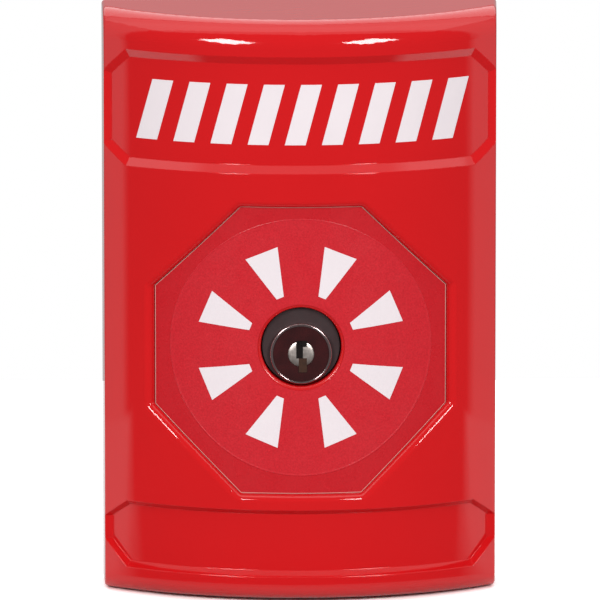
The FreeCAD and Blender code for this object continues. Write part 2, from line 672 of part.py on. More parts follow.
def make_chassis():
    body = new_body("chassis")
    half_width = "chassis_width / 2"
    half_height = "chassis_height / 2"
    sketch = sketch_on(body, "XZ_Plane", "base_thick")
    add_box(
        sketch,
        f"-{half_width}",
        half_width,
        f"chassis_middle - {half_height}",
        f"chassis_middle + {half_height}",
    )
    pad(body, sketch, "chassis_front - base_thick")
    hollow = sketch_on(body, "XZ_Plane", "chassis_front - chassis_wall")
    inner_x = f"{half_width} - chassis_wall"
    inner_z = f"{half_height} - chassis_wall"
    add_box(
        hollow,
        f"-({inner_x})",
        inner_x,
        f"chassis_middle - ({inner_z})",
        f"chassis_middle + {inner_z}",
    )
    pocket(body, hollow, "chassis_front")
    posts = sketch_on(body, "XZ_Plane", "base_thick")
    across = "chassis_width / 2 - chassis_screw_inset"
    up = "chassis_height / 2 - chassis_screw_inset"
    screws = [(f"{x} * ({across})", f"chassis_middle + {z} * ({up})") for x in (1, -1) for z in (1, -1)]
    for x, z in screws:
        add_circle(posts, "chassis_post", x, z)
    pad(body, posts, "chassis_front - base_thick")
    front = sketch_on(body, "XZ_Plane", "chassis_front - chassis_wall")
    for x in (1, -1):
        for z in (1, -1):
            add_circle(front, "guide_radius", f"{x} * guide_x", f"panel_height + {z} * guide_z")
    pad(body, front, "guide_front - chassis_front + chassis_wall")
    boss = sketch_on(body, "XZ_Plane", "chassis_front - chassis_wall")
    add_circle(boss, "boss_radius", "0", "hole_height")
    pad(body, boss, "lock_rim_depth - lock_head_thick - chassis_front + chassis_wall")
    nubs = sketch_on(body, "XZ_Plane", "chassis_front - chassis_wall")
    for x in (1, -1):
        for z in (1, -1):
            add_circle(
                nubs,
                "spring_radius - spring_wire - seat_play",
                f"{x} * spring_x",
                f"panel_height + {z} * spring_z",
            )
    pad(body, nubs, "seat_nub + chassis_wall")
    add_keepers(body)
    add_block_hooks(body)
    bores = sketch_on(body, "XZ_Plane", "cover_depth")
    add_circle(bores, "barrel_radius + barrel_gap", "0", "lock_height")
    for side in (1, -1):
        add_circle(bores, "leg_radius + leg_gap", f"{side} * {BLOCK_X}", "lock_height")
    pocket(body, bores, "cover_depth")
    threads = sketch_on(body, "XZ_Plane", "chassis_front - chassis_wall / 2")
    for x, z in screws:
        add_circle(threads, "chassis_screw_radius + screw_gap", x, z)
    pocket(body, threads, "chassis_front")
    windows = sketch_on(body, "XZ_Plane", "chassis_front + 1")
    add_catch_windows(windows, "-catch_barb - catch_play", "catch_thick + catch_barb + catch_play")
    half = "(bar_tab_height / 2 + keeper_play)"
    add_box(
        windows,
        "-(bar_left + bar_travel + keeper_play)",
        "-(bar_left - bar_thick - keeper_play)",
        f"lock_height - {half}",
        f"lock_height + {half}",
    )
    for side in (1, -1):
        near = f"panel_height + {side} * (clip_height - clip_wall - clip_reach)"
        far = f"panel_height + {side} * (clip_height + clip_play)"
        add_box(windows, "-clip_width / 2 - clip_play", "clip_width / 2 + clip_play", near, far)
    pocket(body, windows, "chassis_wall + 2")
    return body


def add_catch_windows(sketch, left, right):
    """Two openings for the catch springs."""
    half = "(catch_width / 2 + catch_play)"
    for side in (1, -1):
        middle = f"panel_height + {side} * catch_height"
        add_box(sketch, left, right, f"{middle} - {half}", f"{middle} + {half}")


def add_keepers(body):
    """Four keepers whose lips hold the latch bar down, and the two cheeks of the latch spring."""
    top = "chassis_front + bar_lift + bar_thick + keeper_play"
    wall = sketch_on(body, "XZ_Plane", "chassis_front - chassis_wall")
    lips = sketch_on(body, "XZ_Plane", top)
    foot = "panel_height - leaf_foot"
    leaf = "-(bar_arm + leaf_bow)"
    for near, far in ((f"{leaf} + 1", leaf), (f"{leaf} - leaf_thick", f"{leaf} - leaf_thick - 1")):
        add_box(wall, near, far, foot, f"{foot} + leaf_length / 4")
    for side in (1, -1):
        reach = "bar_right" if side > 0 else "bar_left + bar_travel"
        edge = "bar_right" if side > 0 else "bar_left"
        for turn in (1, -1):
            middle = f"panel_height + {turn} * keeper_height"
            low = f"{middle} - keeper_width / 2"
            high = f"{middle} + keeper_width / 2"
            near = f"{side} * ({reach} + keeper_play)"
            far = f"{side} * ({reach} + keeper_play + keeper_wall)"
            over = f"{side} * ({edge} - keeper_lip)"
            add_box(wall, near, far, low, high)
            add_box(lips, over, far, low, high)
    pad(body, wall, f"{top} - chassis_front + chassis_wall")
    pad(body, lips, "keeper_wall")


def add_block_hooks(body):
    """Two hooks behind the chassis for each contact block."""
    beams = sketch_on(body, "XZ_Plane", "hook_back - hook_nose")
    noses = sketch_on(body, "XZ_Plane", "hook_back - hook_nose")
    for side in (1, -1):
        left = f"{side} * {BLOCK_X} - hook_width / 2"
        right = f"{side} * {BLOCK_X} + hook_width / 2"
        for turn in (1, -1):
            face = f"lock_height + {turn} * (block_height / 2 + hook_gap)"
            back = f"lock_height + {turn} * (block_height / 2 + hook_gap + hook_wall)"
            tip = f"lock_height + {turn} * (block_height / 2 - hook_reach)"
            add_box(beams, left, right, face, back)
            add_box(noses, left, right, tip, back)
    pad(body, beams, "chassis_front - chassis_wall / 2 - hook_back + hook_nose")
    pad(body, noses, "hook_nose")


# Push plate and film


def plate_radius():
    return "front_radius - film_recess - film_thick"


def make_push_plate():
    block = octagon_prism(
        "plate_block",
        "panel_across",
        "skirt_back",
        "cover_depth - skirt_back",
        "panel_corner_round - panel_gap",
    )
    bowed = combine("Common", "plate_bowed", block, bowed_cylinder("plate_bow", plate_radius()))
    hollow = octagon_prism(
        "plate_hollow",
        "panel_across - 2 * skirt_wall",
        "0",
        "cover_depth",
        "panel_corner_round",
    )
    inner = bowed_cylinder("plate_inner_bow", plate_radius() + " - plate_thick")
    shell = combine("Cut", "plate_shell", bowed, combine("Common", "plate_cavity", hollow, inner))
    middle = bowed_cylinder("plate_middle_bow", plate_radius() + " - plate_thick / 2")
    inner_parts = combine("Common", "plate_fittings_trimmed", make_plate_fittings(), middle)
    joined = combine("Fuse", "plate_joined", shell, inner_parts)
    drilled = combine("Cut", "plate_drilled", joined, make_plate_bores())
    rim = doc.addObject("Part::Fillet", "push_plate")
    rim.Base = drilled
    radius = SIZE["hole_round"]
    front = SIZE["front_radius"] - SIZE["film_recess"] - SIZE["film_thick"]
    axis_y = SIZE["front_radius"] - SIZE["cover_depth"]
    rim.Edges = [
        (number, radius, radius)
        for number, edge in enumerate(drilled.Shape.Edges, start=1)
        if all(
            abs(math.hypot(point.x, point.y - axis_y) - front) < 1e-4
            and math.hypot(point.x, point.z - SIZE["hole_height"]) < SIZE["hole_radius"] + 0.1
            for point in edge.discretize(5)
        )
    ]
    doc.recompute()
    rim.Label = "push_plate"
    return rim


def make_plate_fittings():
    """Sleeves, spring seats, legs, catch pads and the tube round the lock hole."""
    body = new_body("plate_fittings")
    tube = sketch_on(body, "XZ_Plane", "hole_back")
    add_circle(tube, "hole_radius + hole_wall", "0", "hole_height")
    pad(body, tube, "cover_depth - hole_back")
    sleeves = sketch_on(body, "XZ_Plane", "sleeve_back")
    for x in (1, -1):
        for z in (1, -1):
            place = (f"{x} * guide_x", f"panel_height + {z} * guide_z")
            add_circle(sleeves, "guide_radius + guide_gap + sleeve_wall", *place)
    pad(body, sleeves, "cover_depth - sleeve_back")
    seats = sketch_on(body, "XZ_Plane", "seat_depth")
    for x in (1, -1):
        for z in (1, -1):
            place = (f"{x} * spring_x", f"panel_height + {z} * spring_z")
            add_circle(seats, "spring_radius + spring_wire + seat_play", *place)
    pad(body, seats, "cover_depth - seat_depth")
    nubs = sketch_on(body, "XZ_Plane", "seat_depth - seat_nub")
    for x in (1, -1):
        for z in (1, -1):
            place = (f"{x} * spring_x", f"panel_height + {z} * spring_z")
            add_circle(nubs, "spring_radius - spring_wire - seat_play", *place)
    pad(body, nubs, "cover_depth - seat_depth + seat_nub")
    legs = sketch_on(body, "XZ_Plane", "plunger_front + leg_play")
    for side in (1, -1):
        add_circle(legs, "leg_radius", f"{side} * {BLOCK_X}", "lock_height")
    pad(body, legs, "cover_depth - plunger_front - leg_play")
    pads = sketch_on(body, "XZ_Plane", "catch_seat")
    for side in (1, -1):
        middle = f"panel_height + {side} * catch_height"
        add_box(
            pads,
            "0",
            "catch_foot",
            f"{middle} - catch_width / 2",
            f"{middle} + catch_width / 2",
        )
    pad(body, pads, "cover_depth - catch_seat")
    arms = sketch_on(body, "XZ_Plane", "clip_back")
    noses = sketch_on(body, "XZ_Plane", "clip_back")
    for side in (1, -1):
        inner = f"panel_height + {side} * (clip_height - clip_wall)"
        outer = f"panel_height + {side} * clip_height"
        nose = f"panel_height + {side} * (clip_height + clip_reach)"
        add_box(arms, "-clip_width / 2", "clip_width / 2", inner, outer)
        add_box(noses, "-clip_width / 2", "clip_width / 2", inner, nose)
    pad(body, arms, "cover_depth - clip_back")
    pad(body, noses, "chassis_front - chassis_wall - clip_rest - clip_back")
    return body


def make_plate_bores():
    """Bores of the sleeves, the catch screws and the lock hole."""
    body = new_body("plate_bores")
    hole = sketch_on(body, "XZ_Plane", "hole_back - 1")
    add_circle(hole, "hole_radius", "0", "hole_height")
    pad(body, hole, "cover_depth")
    sleeves = sketch_on(body, "XZ_Plane", "sleeve_back - 1")
    for x in (1, -1):
        for z in (1, -1):
            place = (f"{x} * guide_x", f"panel_height + {z} * guide_z")
            add_circle(sleeves, "guide_radius + guide_gap", *place)
    pad(body, sleeves, "guide_front + press_travel - sleeve_back + 1 + guide_gap")
    screws = sketch_on(body, "XZ_Plane", "catch_seat - 1")
    for side in (1, -1):
        middle = f"panel_height + {side} * catch_height"
        add_circle(screws, "catch_screw_radius + screw_gap", "catch_foot * 0.6", middle)
    pad(body, screws, "1 + catch_screw_length")
    return body


def make_push_label():
    film = octagon_prism(
        "film_block",
        "panel_across - 2 * film_inset",
        "seat_depth - 4",
        "cover_depth",
        "panel_corner_round - panel_gap",
    )
    outer = combine("Common", "film_outer", film, bowed_cylinder("film_bow", "front_radius - film_recess"))
    skin = combine("Cut", "film_skin", outer, bowed_cylinder("film_back", plate_radius()))
    hole = new_body("film_punch")
    sketch = sketch_on(hole, "XZ_Plane")
    add_circle(sketch, "film_hole", "0", "hole_height")
    pad(hole, sketch, "2 * cover_depth")
    label = combine("Cut", "push_label", skin, hole)
    label.Label = "push_label"
    return label


# Lock


def make_lock_body():
    seat = "lock_rim_depth - lock_head_thick"
    cup = "lock_rim_depth - lock_cup"
    bore = "core_radius + core_gap"
    return turned(
        "lock_body",
        [
            ("barrel_back", bore),
            ("barrel_back", "barrel_radius"),
            (seat, "barrel_radius"),
            (seat, "lock_head_radius"),
            ("lock_rim_depth - lock_rim_round", "lock_head_radius"),
            ("lock_rim_depth", "lock_head_radius - lock_rim_round"),
            ("lock_rim_depth", "lock_head_radius - lock_rim"),
            (cup, "lock_head_radius - lock_rim"),
            (cup, bore),
        ],
        z="lock_height",
    )


def make_lock_face_ring():
    cup = "lock_rim_depth - lock_cup"
    outer = "lock_head_radius - lock_rim"
    return turned(
        "lock_face_ring",
        [
            (cup, "core_radius + core_gap"),
            (cup, outer),
            (f"{cup} + face_ring_thick", outer),
            (f"{cup} + face_ring_thick", "core_radius + core_gap"),
        ],
        z="lock_height",
    )


# The keyway, seen from the front about the lock's axis.
KEYWAY = ((-1.08, 1.97), (-1.08, -1.32), (-0.53, -1.32), (-0.53, -2.3), (1.0, -2.3), (1.0, -0.22),
          (0.22, -0.22), (0.22, 0.87), (1.18, 0.87), (1.18, 1.97))


def make_lock_core():
    body = new_body("lock_core")
    face = sketch_on(body, "XZ_Plane", "barrel_back")
    add_circle(face, "core_radius")
    pad(body, face, "core_depth - barrel_back")
    tail = sketch_on(body, "XZ_Plane", "tail_back")
    half = "tail_side / 2"
    add_box(tail, f"-{half}", half, f"-{half}", half)
    pad(body, tail, "barrel_back - tail_back")
    keyway = sketch_on(body, "XZ_Plane", "core_depth")
    add_outline(keyway, [(f"{x} * core_radius / 2.7", f"{z} * core_radius / 2.7") for x, z in KEYWAY])
    pocket(body, keyway, "keyway_deep")
    screw = sketch_on(body, "XZ_Plane", "tail_back + cam_screw_length")
    add_circle(screw, "cam_screw_radius + screw_gap")
    pocket(body, screw, "cam_screw_length + 1")
    bind(body, Placement__Base__z="lock_height")
    return body


def make_release_cam():
    body = new_body("release_cam")
    hub = sketch_on(body, "XZ_Plane", "tail_back")
    add_circle(hub, "cam_hub")
    pad(body, hub, "cam_thick")
    lobe = sketch_on(body, "XZ_Plane", "tail_back")
    add_box(lobe, "-cam_lobe", "cam_lobe", "-(cam_reach - cam_lobe)", "0")
    pad(body, lobe, "cam_thick")
    tip = sketch_on(body, "XZ_Plane", "tail_back")
    add_circle(tip, "cam_lobe", "0", "-(cam_reach - cam_lobe)")
    pad(body, tip, "cam_thick")
    square = sketch_on(body, "XZ_Plane", "barrel_back")
    half = "tail_side / 2 + screw_gap"
    add_box(square, f"-({half})", half, f"-({half})", half)
    pocket(body, square, "barrel_back")
    bind(body, Placement__Base__z="lock_height")
    return body


def make_cam_screw():
    back = "tail_back - cam_screw_thick"
    return turned(
        "cam_screw",
        [
            (back, "0"),
            (back, "cam_screw_head - 0.4"),
            (f"{back} + 0.4", "cam_screw_head"),
            ("tail_back", "cam_screw_head"),
            ("tail_back", "cam_screw_radius"),
            ("tail_back + cam_screw_length - 0.3", "cam_screw_radius"),
            ("tail_back + cam_screw_length - 0.3", "0"),
        ],
        z="lock_height",
    )


def make_lock_washer():
    front = "chassis_front - chassis_wall"
    return turned(
        "lock_washer",
        [
            (f"{front} - washer_thick", "barrel_radius + screw_gap"),
            (f"{front} - washer_thick", "washer_radius"),
            (front, "washer_radius"),
            (front, "barrel_radius + screw_gap"),
        ],
        z="lock_height",
    )


def make_lock_nut():
    body = new_body("lock_nut")
    sketch = sketch_on(body, "XZ_Plane", "chassis_front - chassis_wall - washer_thick - nut_thick")
    reach = "nut_across / 2 / cos(30)"
    corners = [(f"{reach} * cos({60 * step})", f"{reach} * sin({60 * step})") for step in range(6)]
    add_outline(sketch, corners)
    add_circle(sketch, "barrel_radius + screw_gap")
    pad(body, sketch, "nut_thick")
    bind(body, Placement__Base__z="lock_height")
    return body


# Latch


def make_latch_bar():
    body = new_body("latch_bar")
    back = "chassis_front + bar_lift"
    sheet_face = sketch_on(body, "XZ_Plane", back)
    middle = "panel_height"
    arm = "bar_arm"
    add_outline(
        sheet_face,
        [
            ("-bar_left", f"{middle} - bar_half_height"),
            (f"-{arm}", f"{middle} - bar_half_height"),
            (f"-{arm}", f"{middle} - bar_end"),
            (arm, f"{middle} - bar_end"),
            (arm, f"{middle} - bar_half_height"),
            ("bar_right", f"{middle} - bar_half_height"),
            ("bar_right", f"{middle} + bar_half_height"),
            (arm, f"{middle} + bar_half_height"),
            (arm, f"{middle} + bar_end"),
            (f"-{arm}", f"{middle} + bar_end"),
            (f"-{arm}", f"{middle} + bar_half_height"),
            ("-bar_left", f"{middle} + bar_half_height"),
        ],
    )
    slot_low = "hole_height - boss_radius - bar_slot_play"
    slot_high = "hole_height + boss_radius + bar_slot_play"
    add_box(sheet_face, "-(bar_left - bar_rail)", "bar_right - bar_rail", slot_low, slot_high)
    add_catch_windows(sheet_face, "-catch_play", "catch_thick + bar_travel + catch_play")
    pad(body, sheet_face, "bar_thick")
    tab = sketch_on(body, "XZ_Plane", "tail_back")
    add_box(
        tab,
        "-bar_left",
        "-(bar_left - bar_thick)",
        "lock_height - bar_tab_height / 2",
        "lock_height + bar_tab_height / 2",
    )
    pad(body, tab, f"{back} - tail_back")
    return body


def make_latch_spring():
    """A leaf spring that stands on the chassis and bows against the left edge of the latch bar."""
    body = new_body("latch_spring")
    sketch = sketch_on(body, "XZ_Plane", "chassis_front")
    foot = "panel_height - leaf_foot"
    tip = "-bar_arm"
    root = f"{tip} - leaf_bow"
    add_outline(
        sketch,
        [
            (f"{root} - leaf_thick", foot),
            (root, foot),
            (root, f"{foot} + leaf_length / 4"),
            (tip, f"{foot} + leaf_length"),
            (f"{tip} - leaf_thick", f"{foot} + leaf_length"),
            (f"{root} - leaf_thick", f"{foot} + leaf_length / 4"),
        ],
    )
    pad(body, sketch, "bar_lift + leaf_width")
    return body


def make_catch_spring(name, side):
    """A strip with a screwed foot, a straight shank and a barb at its end."""
    body = new_body(name)
    sketch = sketch_on(body, "XY_Plane", f"-catch_width / 2")
    bar_front = "chassis_front + bar_lift + bar_thick"
    tip = f"{bar_front} + catch_lift"
    ledge = f"{tip} + catch_length"
    add_outline(
        sketch,
        [
            ("0", f"-({tip})"),
            ("catch_thick", f"-({tip})"),
            ("catch_thick", "-(catch_seat - catch_thick)"),
            ("catch_foot", "-(catch_seat - catch_thick)"),
            ("catch_foot", "-catch_seat"),
            ("0", "-catch_seat"),
            ("0", f"-({ledge})"),
            ("-catch_barb", f"-({ledge})"),
        ],
    )
    pad(body, sketch, "catch_width")
    screw = sketch_on(body, "XZ_Plane", "catch_seat + 1")
    add_circle(screw, "catch_screw_radius + screw_gap", "catch_foot * 0.6", "0")
    pocket(body, screw, "2 + catch_thick")
    bind(body, Placement__Base__z=f"panel_height + {side} * catch_height")
    return body


def make_catch_screws():
    seat = "catch_seat - catch_thick"
    pattern = turned(
        "catch_screw_pattern",
        [
            (f"{seat} - catch_screw_thick", "0"),
            (f"{seat} - catch_screw_thick", "catch_screw_head - 0.3"),
            (f"{seat} - catch_screw_thick + 0.3", "catch_screw_head"),
            (seat, "catch_screw_head"),
            (seat, "catch_screw_radius"),
            (f"{seat} + catch_screw_length", "catch_screw_radius"),
            (f"{seat} + catch_screw_length", "0"),
        ],
    )
    x = SIZE["catch_foot"] * 0.6
    places = [
        Placement(Vector(x, 0, SIZE["panel_height"] + side * SIZE["catch_height"]), Rotation())
        for side in (1, -1)
    ]
    return group("catch_screws", pattern, places)


# Springs


def make_spring(name, radius, wire, turns, back, front, x, z):
    """A helical spring between two depths, on an axis along Y."""
    helix = doc.addObject("Part::Helix", name + "_helix")
    bind(helix, Radius=radius, Height=f"{front} - ({back}) - 2 * {wire}")
    bind(helix, Pitch=f"({front} - ({back}) - 2 * {wire}) / {turns}")
    section = doc.addObject("Part::Circle", name + "_section")
    bind(section, Radius=wire, Placement__Base__x=radius)
    section.Placement.Rotation = Rotation(Vector(1, 0, 0), 90)
    sweep = doc.addObject("Part::Sweep", name)
    sweep.Sections = [section]
    sweep.Spine = (helix, ["Edge1"])
    sweep.Solid = True
    sweep.Frenet = True
    sweep.Label = name
    sweep.Placement.Rotation = Rotation(Vector(1, 0, 0), 90)
    bind(sweep, Placement__Base__x=x, Placement__Base__y=f"-({back}) - {wire}", Placement__Base__z=z)
    doc.recompute()
    return sweep


def make_return_springs():
    springs = []
    corners = [(1, 1), (-1, 1), (-1, -1), (1, -1)]
    for number, (side, high) in enumerate(corners, start=1):
        springs.append(
            make_spring(
                f"return_spring_{number}",
                "spring_radius",
                "spring_wire",
                "spring_turns",
                "chassis_front",
                "seat_depth",
                f"{side} * spring_x",
                f"panel_height + {high} * spring_z",
            )
        )
    return springs


# Contact blocks

BLOCK_SIDES = (("left", -1), ("right", 1))
STRIP_FRONT = "(bridge_depth - bridge_thick - press_travel - strip_play)"
STRIP_END = "(terminal_z + strip_beyond)"


def make_contact_block(name, side):
    body = new_body(name)
    front = "chassis_front - chassis_wall"
    back = f"{front} - block_depth"
    outline = sketch_on(body, "XZ_Plane", back)
    add_box(outline, "-block_width / 2", "block_width / 2", "-block_height / 2", "block_height / 2")
    pad(body, outline, "block_depth")
    bore = sketch_on(body, "XZ_Plane", front)
    add_circle(bore, "plunger_radius + plunger_gap")
    pocket(body, bore, f"{front} - chamber_front + 1")
    chamber = sketch_on(body, "XZ_Plane", "chamber_front")
    half_width = "chamber_width / 2"
    half_height = "chamber_height / 2"
    add_box(chamber, f"-{half_width}", half_width, f"-{half_height}", half_height)
    pocket(body, chamber, "chamber_front - chamber_back")
    wells = sketch_on(body, "XZ_Plane", f"{back} + terminal_deep")
    for turn in (1, -1):
        add_circle(wells, "terminal_well", "0", f"{turn} * terminal_z")
    pocket(body, wells, "terminal_deep + 1")
    entries = sketch_on(body, "XZ_Plane", f"{back} + terminal_deep")
    for turn in (1, -1):
        edge = f"{turn} * (block_height / 2 + 1)"
        add_box(entries, "-wire_slot / 2", "wire_slot / 2", f"{turn} * terminal_z", edge)
    pocket(body, entries, "terminal_deep + 1")
    slots = sketch_on(body, "XZ_Plane", STRIP_FRONT)
    for turn in (1, -1):
        near = f"{turn} * (chamber_height / 2 - 0.5)"
        add_box(slots, "-strip_width / 2", "strip_width / 2", near, f"{turn} * {STRIP_END}")
    pocket(body, slots, "strip_thick")
    shanks = sketch_on(body, "XZ_Plane", STRIP_FRONT)
    for turn in (1, -1):
        add_circle(shanks, "terminal_radius + screw_gap", "0", f"{turn} * terminal_z")
    pocket(body, shanks, f"{STRIP_FRONT} - ({back})")
    notches = sketch_on(body, "XZ_Plane", "hook_back")
    for turn in (1, -1):
        low = f"{turn} * (block_height / 2 - hook_reach - hook_gap)"
        half = "(hook_width / 2 + hook_gap)"
        add_box(notches, f"-{half}", half, low, f"{turn} * (block_height / 2 + 1)")
    pocket(body, notches, "hook_nose + hook_gap")
    bind(body, Placement__Base__x=f"{side} * {BLOCK_X}", Placement__Base__z="lock_height")
    return body


def make_contact_plunger(name, side):
    return turned(
        name,
        [
            ("plunger_back", "0"),
            ("plunger_back", "plunger_stem"),
            ("bridge_depth", "plunger_stem"),
            ("bridge_depth", "plunger_radius"),
            ("plunger_front - 0.3", "plunger_radius"),
            ("plunger_front", "plunger_radius - 0.3"),
            ("plunger_front", "0"),
        ],
        x=f"{side} * {BLOCK_X}",
        z="lock_height",
    )


def make_contact_bridge(name, side):
    body = new_body(name)
    sketch = sketch_on(body, "XZ_Plane", "bridge_depth - bridge_thick")
    add_box(sketch, "-bridge_width / 2", "bridge_width / 2", "-bridge_height / 2", "bridge_height / 2")
    add_circle(sketch, "plunger_stem")
    pad(body, sketch, "bridge_thick")
    bind(body, Placement__Base__x=f"{side} * {BLOCK_X}", Placement__Base__z="lock_height")
    return body


def make_contact_spring(name, side):
    return make_spring(
        name,
        "contact_spring_radius",
        "contact_spring_wire",
        "contact_spring_turns",
        "chamber_back",
        "(bridge_depth - bridge_thick)",
        f"{side} * {BLOCK_X}",
        "lock_height",
    )


def block_places(rows=(0,)):
    block_x = SIZE["chassis_width"] / 2 - SIZE["block_inset"]
    return [
        Placement(Vector(side * block_x, 0, SIZE["lock_height"] + row), Rotation())
        for name, side in BLOCK_SIDES
        for row in rows
    ]


def make_contact_strips():
    body = new_body("strip_pair")
    sketch = sketch_on(body, "XZ_Plane", f"{STRIP_FRONT} - strip_thick")
    for turn in (1, -1):
        near = f"{turn} * strip_reach"
        add_box(sketch, "-strip_width / 2", "strip_width / 2", near, f"{turn} * {STRIP_END}")
        add_circle(sketch, "terminal_radius", "0", f"{turn} * terminal_z")
    pad(body, sketch, "strip_thick")
    return group("contact_strips", body, block_places())


def make_terminal_screws():
    floor = "(chassis_front - chassis_wall - block_depth + terminal_deep)"
    under = f"{floor} - clamp_thick"
    pattern = turned(
        "terminal_screw_pattern",
        [
            (f"{under} - terminal_thick", "0"),
            (f"{under} - terminal_thick", "terminal_head - 0.3"),
            (f"{under} - terminal_thick + 0.3", "terminal_head"),
            (under, "terminal_head"),
            (under, "terminal_radius"),
            (STRIP_FRONT, "terminal_radius"),
            (STRIP_FRONT, "0"),
        ],
    )
    rows = (SIZE["terminal_z"], -SIZE["terminal_z"])
    return group("terminal_screws", pattern, block_places(rows))


def make_terminal_clamps():
    body = new_body("terminal_clamp_pattern")
    floor = "(chassis_front - chassis_wall - block_depth + terminal_deep)"
    sketch = sketch_on(body, "XZ_Plane", f"{floor} - clamp_thick")
    half = "clamp_side / 2"
    add_box(sketch, f"-{half}", half, f"-{half}", half)
    add_circle(sketch, "terminal_radius")
    pad(body, sketch, "clamp_thick")
    rows = (SIZE["terminal_z"], -SIZE["terminal_z"])
    return group("terminal_clamps", body, block_places(rows))


# Fasteners of the housing


def chassis_screw_places():
    across = SIZE["chassis_width"] / 2 - SIZE["chassis_screw_inset"]
    up = SIZE["chassis_height"] / 2 - SIZE["chassis_screw_inset"]
    return [
        Placement(Vector(x * across, 0, SIZE["chassis_middle"] + z * up), Rotation())
        for x in (1, -1)
        for z in (1, -1)
    ]


def cover_screw_places():
    """Screw axes that run upwards through the bottom wall of the cover."""
    return [
        Placement(
            Vector(side * SIZE["tab_x"], -SIZE["cover_screw_depth"], -SIZE["cover_height"] / 2),
            Rotation(Vector(1, 0, 0), -90),
        )
        for side in (1, -1)
    ]


def make_chassis_screws():
    """Countersunk screws driven from behind the mounting plate into the chassis."""
    cone = "chassis_screw_head - chassis_screw_radius"
    pattern = turned(
        "chassis_screw_pattern",
        [
            ("screw_gap", "0"),
            ("screw_gap", "chassis_screw_head"),
            (f"screw_gap + {cone}", "chassis_screw_radius"),
            ("screw_gap + chassis_screw_length", "chassis_screw_radius"),
            ("screw_gap + chassis_screw_length", "0"),
        ],
    )
    return group("chassis_screws", pattern, chassis_screw_places())


def make_cover_screws():
    seat = "cover_screw_sunk + cover_screw_thick"
    pattern = turned(
        "cover_screw_pattern",
        [
            ("cover_screw_sunk", "0"),
            ("cover_screw_sunk", "cover_screw_head - 0.4"),
            ("cover_screw_sunk + 0.4", "cover_screw_head"),
            (seat, "cover_screw_head"),
            (seat, "cover_screw_radius"),
            ("cover_screw_sunk + cover_screw_length", "cover_screw_radius"),
            ("cover_screw_sunk + cover_screw_length", "0"),
        ],
    )
    return group("cover_screws", pattern, cover_screw_places())


# Assembly, checks and export

pieces = {
    "front_cover": make_front_cover(),
    "mounting_plate": make_mounting_plate(),
    "chassis": make_chassis(),
    "push_plate": make_push_plate(),
    "push_label": make_push_label(),
    "lock_body": make_lock_body(),
    "lock_face_ring": make_lock_face_ring(),
    "lock_core": make_lock_core(),
    "release_cam": make_release_cam(),
    "cam_screw": make_cam_screw(),
    "lock_washer": make_lock_washer(),
    "lock_nut": make_lock_nut(),
    "latch_bar": make_latch_bar(),
    "latch_spring": make_latch_spring(),
    "catch_spring_upper": make_catch_spring("catch_spring_upper", 1),
    "catch_spring_lower": make_catch_spring("catch_spring_lower", -1),
    "catch_screws": make_catch_screws(),
    "contact_strips": make_contact_strips(),
    "terminal_screws": make_terminal_screws(),
    "terminal_clamps": make_terminal_clamps(),
    "chassis_screws": make_chassis_screws(),
    "cover_screws": make_cover_screws(),
}
for spring in make_return_springs():
    pieces[spring.Label] = spring
for word, direction in BLOCK_SIDES:
    pieces[f"contact_block_{word}"] = make_contact_block(f"contact_block_{word}", direction)
    pieces[f"contact_plunger_{word}"] = make_contact_plunger(f"contact_plunger_{word}", direction)
    pieces[f"contact_bridge_{word}"] = make_contact_bridge(f"contact_bridge_{word}", direction)
    pieces[f"contact_spring_{word}"] = make_contact_spring(f"contact_spring_{word}", direction)

doc.recompute()
for item in doc.Objects:
    if "Invalid" in item.State or "Error" in item.State:
        raise RuntimeError(f"{item.Name} is in state {item.State}")
for node, piece in pieces.items():
    if piece.Shape.isNull() or not piece.Shape.isValid() or not piece.Shape.Solids:
        raise RuntimeError(f"{node} has no valid solid")

os.makedirs("parts", exist_ok=True)
for node, piece in pieces.items():
    piece.Shape.exportStep(f"parts/{node}.step")
    box = piece.Shape.BoundBox
    print(f"{node:22s} solids {len(piece.Shape.Solids)}  x {box.XMin:7.2f} {box.XMax:7.2f}"
          f"  d {-box.YMax:7.2f} {-box.YMin:7.2f}  z {box.ZMin:7.2f} {box.ZMax:7.2f}")
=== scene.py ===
import json
import logging
import math
from dataclasses import dataclass, field
from enum import Enum

import bpy
import numpy as np
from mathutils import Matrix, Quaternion, Vector


